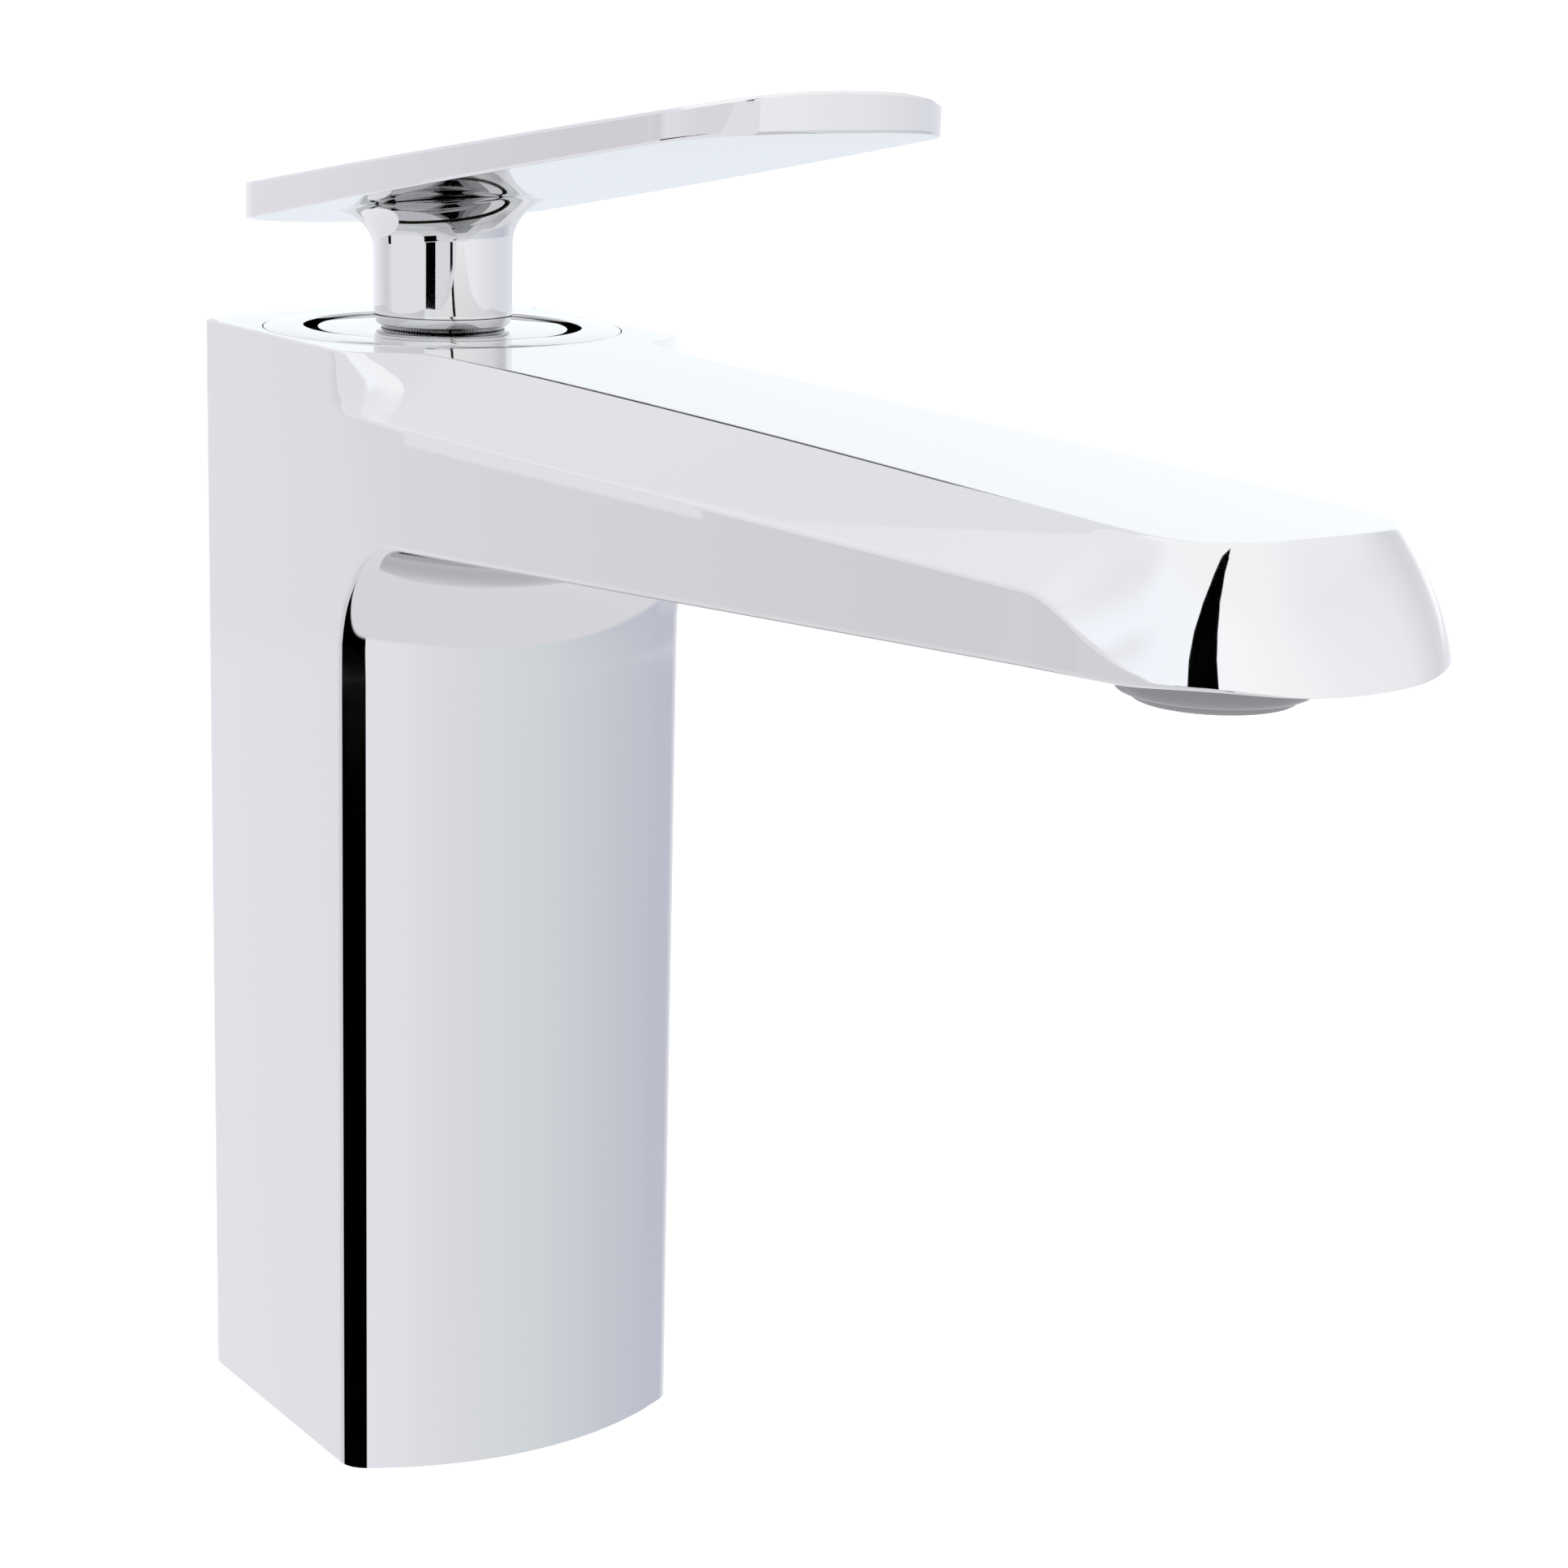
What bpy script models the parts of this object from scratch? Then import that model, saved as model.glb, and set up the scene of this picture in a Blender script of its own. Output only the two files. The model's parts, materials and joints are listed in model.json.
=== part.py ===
"""Single-lever bathroom basin mixer: cast column and spout, ceramic-disc cartridge, lever and aerator.

Metres, +Z up. The origin is the centre of the base, under the cartridge's axis. The spout points along -Y.
"""

import math

import bmesh
import bpy
from mathutils import Matrix, Vector

MM = 0.001
GAP = 0.3 * MM  # clearance between pieces that touch

# Column and spout
HALF_WIDTH = 23 * MM
CORNER_DEPTH = 20 * MM  # from the middle plane to a corner of the plan
FACE_BULGE = 6.7 * MM  # how far the front and back faces stand out between the corners
HEIGHT = 137.6 * MM
FILLET = 14 * MM  # between the column's front and the spout's underside
UNDERSIDE_START = 115.6 * MM  # height of the spout's lower edge at the column's front corners
UNDERSIDE_SLOPE = 0.064
UNDERSIDE_CROWN = 2.3 * MM
TIP_START = -143.75 * MM  # y where the spout's plan starts to round off
TIP_HALF_WIDTH = 19.24 * MM
TIP_LENGTH = 24.8 * MM
TIP_POWER = 2.67
TOP_TIP_HALF_WIDTH = 13.9 * MM
TOP_TIP_LENGTH = 18.2 * MM
TOP_TIP_POWER = 4.5
TOP_FALL = 0.0085  # slope of the spout's top face
TOP_EDGE = 12.2 * MM  # half width of the top face where the spout leaves the column
CREASE_HEIGHT = 130.4 * MM
CREASE_DROP_START = -145 * MM
CREASE_DROP_END = -161 * MM
TIP_BULGE = 1.2 * MM  # how far the tip's face stands out from straight
NOSE_Y = -15.3 * MM  # where the slanted facets start in the column's sides
NOSE_RUN = 15 * MM  # length over which they reach full depth low down
NOSE_RUN_LOSS = 6 * MM  # how much shorter that is at the top
SHOULDER_Y = -22 * MM
SHOULDER_EXTRA = 2.6 * MM
SHOULDER_RUN = 10 * MM
TOP_FLARE_START = -90 * MM
TOP_FLARE_LENGTH = 55 * MM

FILLET_END = math.pi / 2 - math.atan(UNDERSIDE_SLOPE)
BULGE_FADE = 5 * MM
# Back sections of the bend: height at the back, then y and z of two points on the side face
BACK_RISES = ((120 * MM, 3 * MM, 107 * MM, 12 * MM, 114 * MM), (HEIGHT, 5 * MM, 113 * MM, 15 * MM, 127 * MM))
TOP_STATIONS = tuple(y * MM for y in (14, 2, -10, -15.3, -18.5, -20.5, -22.5, -25, -29))

# Hollows in the casting
CHAMBER_RADIUS = 18 * MM
CHAMBER_FLOOR = 88 * MM
RING_SEAT_RADIUS = 22.15 * MM
RING_SEAT_FLOOR = 135.5 * MM
WEB_HALF = 5.5 * MM
POCKET_SIDE = 18 * MM
POCKET_DEPTH = 15.5 * MM
POCKET_TOP = 70 * MM
HOSE_SOCKET = (11 * MM, 5 * MM)
HOSE_SOCKET_RADIUS = 4.8 * MM
STUD_SOCKET_Y = (-12 * MM, 12 * MM)
STUD_SOCKET_RADIUS = 3.4 * MM
AERATOR_Y = -148.4 * MM
AERATOR_BORE = 9.5 * MM

# Lever
PIVOT_HEIGHT = 129.7 * MM
STEM_RADIUS = 8.5 * MM
STEM_FLARE = 5 * MM
STEM_BOTTOM = 138.2 * MM
BLADE_RISE = 0.1583  # slope of the blade's underside
BLADE_UNDERSIDE = 152.4 * MM  # its height on the axis
BLADE_THICKNESS = 4.2 * MM  # at the axis, on the edge
BLADE_TAPER = 0.0113
BLADE_CROWN = 1.15 * MM
BLADE_HALF_WIDTH = 20.5 * MM
BLADE_BACK_RADIUS = 24 * MM
BLADE_NARROWING = 3.4 * MM
BLADE_CORNER_START = -76 * MM
BLADE_FRONT = -86.8 * MM
BLADE_POWER = 2.6

# Cartridge
PORT = (5.8 * MM, 4.2 * MM)
ARM_LENGTH = 14 * MM
DISC_REST_Y = 2.2 * MM


def clear_scene():
    for old in list(bpy.data.objects):
        bpy.data.objects.remove(old)


def material(name, colour, roughness, metallic):
    made = bpy.data.materials.get(name)
    if made is None:
        made = bpy.data.materials.new(name)
        made.use_nodes = True
        shader = made.node_tree.nodes["Principled BSDF"]
        shader.inputs["Base Color"].default_value = (*colour, 1)
        shader.inputs["Roughness"].default_value = roughness
        shader.inputs["Metallic"].default_value = metallic
    return made


def chrome():
    return material("polished_chrome", (0.6, 0.605, 0.61), 0.06, 1.0)


def brass():
    return material("brass", (0.78, 0.6, 0.3), 0.3, 1.0)


def steel():
    return material("stainless_steel", (0.62, 0.62, 0.63), 0.3, 1.0)


def white_plastic():
    return material("white_plastic", (0.85, 0.85, 0.83), 0.4, 0.0)


def grey_plastic():
    return material("grey_plastic", (0.2, 0.204, 0.215), 0.35, 0.0)


def ceramic():
    return material("ceramic", (0.9, 0.88, 0.84), 0.15, 0.0)


def rubber():
    return material("black_rubber", (0.03, 0.03, 0.03), 0.7, 0.0)


def add_object(name, mesh, finish=None, cutter=False):
    made = bpy.data.objects.new(name, mesh)
    bpy.context.scene.collection.objects.link(made)
    if cutter:
        made.hide_render = True
        made.display_type = "WIRE"
    else:
        mesh.materials.append(finish)
        mesh.shade_smooth()
        mesh.set_sharp_from_angle(angle=math.radians(30))
    return made


def finish_mesh(name, shape):
    bmesh.ops.recalc_face_normals(shape, faces=shape.faces)
    mesh = bpy.data.meshes.new(name)
    shape.to_mesh(mesh)
    shape.free()
    return mesh


def loft(name, loops):
    """A closed solid through loops of the same number of points, with an end face on the first and the last."""
    shape = bmesh.new()
    rows = [[shape.verts.new(point) for point in loop] for loop in loops]
    for near, far in zip(rows, rows[1:]):
        for k in range(len(near)):
            after = (k + 1) % len(near)
            shape.faces.new((near[k], near[after], far[after], far[k]))
    shape.faces.new(rows[0])
    shape.faces.new(rows[-1])
    return finish_mesh(name, shape)


def turned(name, profile, segments=32, centre=(0, 0)):
    """A solid of revolution about a vertical axis from (radius, height) pairs.

    A profile that starts and ends on the axis makes a full solid, and any other closes into a ring.
    """
    shape = bmesh.new()
    rows = []
    for radius, height in profile:
        if radius == 0:
            rows.append([shape.verts.new((centre[0], centre[1], height))])
            continue
        row = []
        for k in range(segments):
            angle = 2 * math.pi * k / segments
            x = centre[0] + radius * math.cos(angle)
            y = centre[1] + radius * math.sin(angle)
            row.append(shape.verts.new((x, y, height)))
        rows.append(row)
    pairs = list(zip(rows, rows[1:]))
    if profile[0][0] != 0:
        pairs.append((rows[-1], rows[0]))
    for near, far in pairs:
        for k in range(segments):
            after = (k + 1) % segments
            corners = {
                near[k % len(near)]: None,
                near[after % len(near)]: None,
                far[after % len(far)]: None,
                far[k % len(far)]: None,
            }
            if len(corners) > 2:
                shape.faces.new(tuple(corners))
    return finish_mesh(name, shape)


def cylinder(name, radius, low, high, segments=24, centre=(0, 0)):
    return turned(name, [(0, low), (radius, low), (radius, high), (0, high)], segments, centre)


def torus_profile(radius, thickness, height, steps=10):
    angles = [2 * math.pi * k / steps for k in range(steps)]
    return [(radius + thickness * math.cos(a), height + thickness * math.sin(a)) for a in angles]


def block(name, low, high):
    corners = [(low[0], low[1]), (high[0], low[1]), (high[0], high[1]), (low[0], high[1])]
    return loft(name, [[(x, y, z) for x, y in corners] for z in (low[2], high[2])])


def across(name, radius, reach, centre_z, y=0.0, segments=16):
    """A cylinder along X through (0, y, centre_z)."""
    mesh = cylinder(name, radius, -reach, reach, segments)
    mesh.transform(Matrix.Translation((0, y, centre_z)) @ Matrix.Rotation(math.pi / 2, 4, "Y"))
    return mesh


def joined(name, meshes):
    """One mesh that holds several separate solids."""
    shape = bmesh.new()
    for mesh in meshes:
        shape.from_mesh(mesh)
    return finish_mesh(name, shape)


def combine(target, mesh, operation="DIFFERENCE"):
    cutter = add_object(target.name + "_" + mesh.name, mesh, cutter=True)
    step = target.modifiers.new(mesh.name, "BOOLEAN")
    step.operation = operation
    step.solver = "EXACT"
    step.object = cutter
    cutter.parent = target.parent
    cutter.matrix_parent_inverse = target.matrix_parent_inverse.copy()
    return cutter


def smoothstep(t):
    t = min(max(t, 0.0), 1.0)
    return t * t * (3 - 2 * t)


def face_depth(across_share):
    """Distance of the column's front or back face from the middle plane."""
    return CORNER_DEPTH + FACE_BULGE * (1 - across_share**2)


def side_x(y):
    """Half width of the body at y."""
    t = min(max((-y - CORNER_DEPTH) / (-TIP_START - CORNER_DEPTH), 0.0), 1.0)
    return HALF_WIDTH + (TIP_HALF_WIDTH - HALF_WIDTH) * t


def underside_z(x, y):
    edge = UNDERSIDE_START + UNDERSIDE_SLOPE * (-y - CORNER_DEPTH)
    return edge - UNDERSIDE_CROWN * (1 - min((x / side_x(y)) ** 2, 1.0))


def top_z(y):
    return HEIGHT - TOP_FALL * max(-y - CORNER_DEPTH, 0.0)


def facet_x(y, rise):
    """Half width on a slanted facet at y, from its crease (rise 0) to the flat top (rise 1)."""
    swept = TOP_EDGE + SHOULDER_EXTRA * math.exp((y - SHOULDER_Y) / SHOULDER_RUN)
    widening = smoothstep((TOP_FLARE_START - y) / TOP_FLARE_LENGTH)
    full_top = swept + (TOP_TIP_HALF_WIDTH - TOP_EDGE) * widening
    depth = smoothstep((NOSE_Y - y) / (NOSE_RUN - NOSE_RUN_LOSS * rise**3)) ** (1 + rise**2)
    return side_x(y) - (side_x(y) - full_top) * rise * depth


def facet_points(y):
    """Crease, middle and top of the facet's right half at y."""
    middle = (CREASE_HEIGHT + top_z(y)) / 2
    return [(facet_x(y, 0.0), y, CREASE_HEIGHT), (facet_x(y, 0.5), y, middle), (facet_x(y, 1.0), y, top_z(y))]


def crease_z(y, low):
    """Height of the crease between the upright flank and the slanted facet."""
    drop = smoothstep((y - CREASE_DROP_START) / (CREASE_DROP_END - CREASE_DROP_START))
    return CREASE_HEIGHT + (low + GAP - CREASE_HEIGHT) * drop


def rounded_end(half_width, length, power, angle):
    """(x, y) on a superellipse that closes an outline, from its side at angle 0 to its front at 90 degrees."""
    x = half_width * max(math.cos(angle), 0.0) ** (2 / power)
    y = TIP_START - length * math.sin(angle) ** (2 / power)
    return x, y


def body_loop(inner, flank, outer):
    """Points around one section: the inner side, the right flank, the outer side and the left flank."""
    left = [(-x, y, z) for x, y, z in reversed(flank)]
    return [*inner, *flank, *outer, *left]


def fillet_loop_side(shares, angle):
    """The inner side of a section at this angle round the fillet."""
    points = []
    for s in shares:
        end_y = -face_depth(s) - FILLET * (1 - math.cos(FILLET_END))
        base = underside_z(s * side_x(end_y), end_y) - FILLET * math.sin(FILLET_END)
        y = -face_depth(s) - FILLET * (1 - math.cos(angle))
        points.append((s * side_x(y), y, base + FILLET * math.sin(angle)))
    return points


def column_loops(shares):
    loops = []
    for z in (0.0, UNDERSIDE_START - UNDERSIDE_CROWN - FILLET):
        inner = [(HALF_WIDTH * s, -face_depth(s), z) for s in shares]
        outer = [(HALF_WIDTH * s, face_depth(s), z) for s in reversed(shares)]
        flank = [(HALF_WIDTH, y * CORNER_DEPTH, z) for y in (0.0, 0.5)]
        loops.append(body_loop(inner, flank, outer))
    return loops


def bend_loops(shares):
    """Sections that fan out from the fillet to the column's back and over its top."""
    loops = []
    steps = len(BACK_RISES) + len(TOP_STATIONS)
    for j in range(steps):
        inner = fillet_loop_side(shares, FILLET_END * (j + 1) / (steps + 1))
        if j < len(BACK_RISES):
            z, low_y, low_z, high_y, high_z = BACK_RISES[j]
            outer = [(HALF_WIDTH * s, face_depth(s), z) for s in reversed(shares)]
            flank = [(HALF_WIDTH, low_y, low_z), (HALF_WIDTH, high_y, high_z)]
        else:
            y = TOP_STATIONS[j - len(BACK_RISES)]
            bulge = FACE_BULGE * smoothstep((y + BULGE_FADE) / (CORNER_DEPTH + BULGE_FADE))
            *flank, top = facet_points(y)
            outer = [(top[0] * s, y + bulge * (1 - s * s), top[2]) for s in reversed(shares)]
        loops.append(body_loop(inner, flank, outer))
    return loops


def spout_loops(shares, steps):
    loops = []
    full_sweep = FILLET * (1 - math.cos(FILLET_END))
    for j in range(steps + 1):
        t = j / steps
        inner = []
        for s in shares:
            start_y = -face_depth(s) - full_sweep
            y = start_y + (TIP_START - start_y) * t
            x = s * side_x(y)
            inner.append((x, y, underside_z(x, y)))
        start_y = -CORNER_DEPTH - full_sweep
        y = start_y + (TIP_START - start_y) * t
        *flank, top = facet_points(y)
        outer = [(top[0] * s, y, top[2]) for s in reversed(shares)]
        loops.append(body_loop(inner, flank, outer))
    return loops


def tip_loops(shares, steps):
    loops = []
    for j in range(1, steps + 1):
        angle = math.radians(86) * j / steps
        low_x, low_y = rounded_end(TIP_HALF_WIDTH, TIP_LENGTH, TIP_POWER, angle)
        top_x, top_y = rounded_end(TOP_TIP_HALF_WIDTH, TOP_TIP_LENGTH, TOP_TIP_POWER, angle)
        inner = [(low_x * s, low_y, underside_z(low_x * s, low_y)) for s in shares]
        outer = [(top_x * s, top_y, top_z(top_y)) for s in reversed(shares)]
        drop = smoothstep((low_y - CREASE_DROP_START) / (CREASE_DROP_END - CREASE_DROP_START))
        crease = Vector((low_x, low_y, crease_z(low_y, inner[-1][2])))
        away = Vector((low_x / TIP_HALF_WIDTH**2, (low_y - TIP_START) / TIP_LENGTH**2, 0)).normalized()
        middle = (crease + Vector(outer[0])) / 2 + away * TIP_BULGE * drop
        loops.append(body_loop(inner, [tuple(crease), tuple(middle)], outer))
    return loops


def body_loops(columns=8, spout_steps=7, tip_steps=8):
    shares = [-1 + 2 * k / columns for k in range(columns + 1)]
    loops = column_loops(shares) + bend_loops(shares)
    return loops + spout_loops(shares, spout_steps) + tip_loops(shares, tip_steps)


def plan_ring(name, inset_out, inset_in, low, high, steps=10):
    """A flat ring that follows the column's plan, between two insets from its edge."""
    def outline(inset):
        shares = [-1 + 2 * k / steps for k in range(steps + 1)]
        front = [((HALF_WIDTH - inset) * s, -face_depth(s) + inset * 1.15) for s in shares]
        return front + [(-x, -y) for x, y in front]

    outer, inner = outline(inset_out), outline(inset_in)
    shape = bmesh.new()
    rows = []
    for points, z in ((outer, low), (outer, high), (inner, high), (inner, low)):
        rows.append([shape.verts.new((x, y, z)) for x, y in points])
    count = len(outer)
    for near, far in zip(rows, rows[1:] + rows[:1]):
        for k in range(count):
            after = (k + 1) % count
            shape.faces.new((near[k], near[after], far[after], far[k]))
    return finish_mesh(name, shape)


def waterway():
    """The cast passage from the chamber's wall up into the spout and along it to the aerator."""
    riser = cylinder("riser", 4 * MM, 0.0, 27 * MM, 15)
    lean = Vector((0, -23, 12)).to_track_quat("Z", "X").to_matrix().to_4x4()
    riser.transform(Matrix.Translation((0, -16 * MM, 111.5 * MM)) @ lean)
    ends = ((-37 * MM, 119.5 * MM, 128.5 * MM), (AERATOR_Y + 1 * MM, 129.6 * MM, 133.2 * MM))
    sides = ((-6, 0), (-4, 1), (4, 1), (6, 0), (4, -1), (-4, -1))
    loops = []
    for y, low, high in ends:
        middle, half = (low + high) / 2, (high - low) / 2
        loops.append([(x * MM, y, middle + half * up) for x, up in sides])
    return riser, loft("spout_passage", loops)


def make_body(root):
    body = add_object("body_casting", loft("body_casting", body_loops()), chrome())
    body.parent = root
    combine(body, cylinder("chamber", CHAMBER_RADIUS, CHAMBER_FLOOR, HEIGHT + 5 * MM, 48))
    combine(body, cylinder("ring_seat", RING_SEAT_RADIUS, RING_SEAT_FLOOR, HEIGHT + 5 * MM, 48))
    for passage in waterway():
        combine(body, passage)
    bore = cylinder("aerator_bore", AERATOR_BORE, 110 * MM, 129 * MM, 32, (0, AERATOR_Y))
    combine(body, bore)
    pool = cylinder("aerator_pool", 6.5 * MM, 128 * MM, 133.4 * MM, 21, (0, AERATOR_Y))
    combine(body, pool)
    for side, word in ((-1, "left"), (1, "right")):
        inner, outer = sorted((side * WEB_HALF, side * POCKET_SIDE))
        low, high = (inner, -POCKET_DEPTH, -5 * MM), (outer, POCKET_DEPTH, POCKET_TOP)
        combine(body, block("pocket_" + word, low, high))
        centre = (side * HOSE_SOCKET[0], HOSE_SOCKET[1])
        socket = cylinder("hose_socket_" + word, HOSE_SOCKET_RADIUS, POCKET_TOP - 1 * MM, 83 * MM, 24, centre)
        combine(body, socket)
        port = (side * (PORT[0] + 1.4 * MM), PORT[1] + 0.8 * MM)
        combine(body, cylinder("port_" + word, 2.8 * MM, 81 * MM, 90 * MM, 16, port))
    for k, y in enumerate(STUD_SOCKET_Y):
        combine(body, cylinder(f"stud_socket_{k}", STUD_SOCKET_RADIUS, -1 * MM, 16 * MM, 20, (0, y)))
    combine(body, plan_ring("gasket_groove", 1.2 * MM, 3.8 * MM, -1 * MM, 1.8 * MM))
    return body


def make_fixed_trim(root):
    gasket = add_object("base_gasket", plan_ring("base_gasket", 1.5 * MM, 3.5 * MM, 0.0, 1.5 * MM), rubber())
    gasket.parent = root
    profile = [(17.0, 137.92), (17.0, 135.8), (21.85, 135.8), (21.85, 137.55), (21.65, 137.72)]
    ring = turned("trim_ring", [(r * MM, z * MM) for r, z in profile], 64)
    add_object("trim_ring", ring, chrome()).parent = root


def blade_half_width(y):
    if y > 0:
        return min(BLADE_HALF_WIDTH, math.sqrt(max(BLADE_BACK_RADIUS**2 - y**2, 0.0)))
    side = BLADE_HALF_WIDTH - BLADE_NARROWING * (max(-y - 5 * MM, 0.0) / (70 * MM)) ** 2
    if y > BLADE_CORNER_START:
        return side
    corner = BLADE_HALF_WIDTH - BLADE_NARROWING * ((-BLADE_CORNER_START - 5 * MM) / (70 * MM)) ** 2
    share = (y - BLADE_CORNER_START) / (BLADE_FRONT - BLADE_CORNER_START)
    return corner * (1 - share**BLADE_POWER) ** (1 / BLADE_POWER)


def blade_bottom_z(y):
    return BLADE_UNDERSIDE - BLADE_RISE * y


def blade_loops(columns=6):
    back = [BLADE_BACK_RADIUS * math.cos(math.radians(a)) for a in (6, 18, 30, 42, 52)]
    middle = [12.6 * MM + (BLADE_CORNER_START - 12.6 * MM) * k / 9 for k in range(10)]
    reach = BLADE_FRONT - BLADE_CORNER_START
    front = [BLADE_CORNER_START + reach * math.sin(math.radians(a)) for a in (20, 38, 54, 68, 78, 85)]
    loops = []
    for y in back + middle + front:
        half = blade_half_width(y)
        xs = [half * (-1 + 2 * k / columns) for k in range(columns + 1)]
        low = blade_bottom_z(y)
        edge = low + BLADE_THICKNESS + BLADE_TAPER * y
        under = [(x, y, low) for x in xs]
        over = [(x, y, edge + BLADE_CROWN * (1 - (x / half) ** 2)) for x in reversed(xs)]
        loops.append(under + over)
    return loops


def stem_loops(segments=32, flare_steps=6):
    """Rings up the stem and out along a fillet that meets the blade's sloping underside."""
    rows = [(STEM_RADIUS - 0.5 * MM, 0.0, STEM_BOTTOM), (STEM_RADIUS, 0.0, STEM_BOTTOM + 0.5 * MM)]
    for k in range(flare_steps + 1):
        angle = math.pi / 2 * k / flare_steps
        radius = STEM_RADIUS + STEM_FLARE * (1 - math.cos(angle))
        rows.append((radius, 1.0, -STEM_FLARE * (1 - math.sin(angle))))
    rows.append((STEM_RADIUS + STEM_FLARE, 1.0, 1 * MM))
    loops = []
    for radius, on_blade, height in rows:
        loop = []
        for k in range(segments):
            angle = 2 * math.pi * k / segments
            x, y = radius * math.cos(angle), radius * math.sin(angle)
            loop.append((x, y, on_blade * blade_bottom_z(y) + height))
        loops.append(loop)
    return loops


def make_lever(parent):
    def place(made):
        made.parent = parent
        made.matrix_parent_inverse = parent.matrix_world.inverted()

    handle = add_object("lever_handle", loft("lever_handle", blade_loops()), chrome())
    place(handle)
    combine(handle, loft("stem", stem_loops()), "UNION")
    square = 3.8 * MM
    combine(handle, block("spindle_socket", (-square, -square, 137 * MM), (square, square, 148 * MM)))
    hole = cylinder("screw_hole", 2.7 * MM, 3 * MM, 10 * MM, 16)
    hole.transform(Matrix.Translation((0, 0, 143 * MM)) @ Matrix.Rotation(-math.pi / 2, 4, "X"))
    combine(handle, hole)

    screw = cylinder("lever_grub_screw", 2.4 * MM, 3.85 * MM, 6.6 * MM, 16)
    screw.transform(Matrix.Translation((0, 0, 143 * MM)) @ Matrix.Rotation(-math.pi / 2, 4, "X"))
    made = add_object("lever_grub_screw", screw, steel())
    place(made)
    plug = turned("index_plug", [(0, 6.9 * MM), (2.4 * MM, 6.9 * MM), (2.4 * MM, 8.3 * MM), (0, 8.6 * MM)], 16)
    plug.transform(Matrix.Translation((0, 0, 143 * MM)) @ Matrix.Rotation(-math.pi / 2, 4, "X"))
    place(add_object("index_plug", plug, grey_plastic()))

    rim = [(0, 136.2), (14.3, 136.2), (15.25, 137.2), (15.25, 137.55), (15.1, 137.7), (0, 137.7)]
    disc = add_object("cap_disc", turned("cap_disc", [(r * MM, z * MM) for r, z in rim], 64), chrome())
    place(disc)
    combine(disc, block("square_hole", (-square, -square, 130 * MM), (square, square, 140 * MM)))

    half = 3.5 * MM
    shaft = block("spindle", (-half, -half, PIVOT_HEIGHT - 3.2 * MM), (half, half, 147.5 * MM))
    spindle = add_object("spindle", shaft, steel())
    place(spindle)
    ball_z = PIVOT_HEIGHT - ARM_LENGTH
    arm = block("arm", (-2 * MM, -1.8 * MM, ball_z), (2 * MM, 1.8 * MM, PIVOT_HEIGHT - 2 * MM))
    combine(spindle, arm, "UNION")
    ball_profile = [(0, ball_z - 2.6 * MM)]
    for k in range(1, 8):
        angle = -math.pi / 2 + math.pi * k / 8
        ball_profile.append((2.6 * MM * math.cos(angle), ball_z + 2.6 * MM * math.sin(angle)))
    ball_profile.append((0, ball_z + 2.6 * MM))
    combine(spindle, turned("ball", ball_profile, 16), "UNION")
    combine(spindle, across("pin_hole", 1.8 * MM, 12 * MM, PIVOT_HEIGHT))


def make_turret(parent):
    profile = [(0, 117.3), (13.4, 117.3), (13.4, 119.0), (9.0, 119.0), (9.0, 132.0), (0, 132.0)]
    mesh = turned("cartridge_rotor", [(r * MM, z * MM) for r, z in profile], 40)
    rotor = add_object("cartridge_rotor", mesh, white_plastic())
    rotor.parent = parent
    slot = block("slot", (-3.9 * MM, -7.2 * MM, 116 * MM), (3.9 * MM, 5.2 * MM, 134 * MM))
    combine(rotor, slot)
    combine(rotor, across("pin_hole", 1.8 * MM, 8.3 * MM, PIVOT_HEIGHT))
    pin = add_object("spindle_pin", across("spindle_pin", 1.5 * MM, 8 * MM, PIVOT_HEIGHT), steel())
    pin.parent = parent
    profile = [(9.4, 123.6), (11.6, 123.6), (11.6, 126.0), (9.4, 126.0)]
    stop = turned("temperature_stop_ring", [(r * MM, z * MM) for r, z in profile], 40)
    add_object("temperature_stop_ring", stop, grey_plastic()).parent = parent


def make_slide(parent):
    def place(made):
        made.parent = parent
        made.matrix_parent_inverse = parent.matrix_world.inverted()

    plate = cylinder("disc_carrier", 10.4 * MM, 111.3 * MM, 113.6 * MM, 40, (0, DISC_REST_Y))
    carrier = add_object("disc_carrier", plate, grey_plastic())
    place(carrier)
    combine(carrier, block("boss", (-5 * MM, -4.6 * MM, 112 * MM), (5 * MM, 4.6 * MM, 117 * MM)), "UNION")
    pocket = cylinder("ball_pocket", 3 * MM, 112.7 * MM, 119 * MM, 24)
    combine(carrier, pocket)
    plate = cylinder("moving_ceramic_disc", 9.8 * MM, 107.9 * MM, 111.0 * MM, 40, (0, DISC_REST_Y))
    disc = add_object("moving_ceramic_disc", plate, ceramic())
    place(disc)
    combine(disc, cylinder("mixing_hollow", 4.4 * MM, 107 * MM, 109.9 * MM, 24, (0, -2.2 * MM)))


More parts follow.
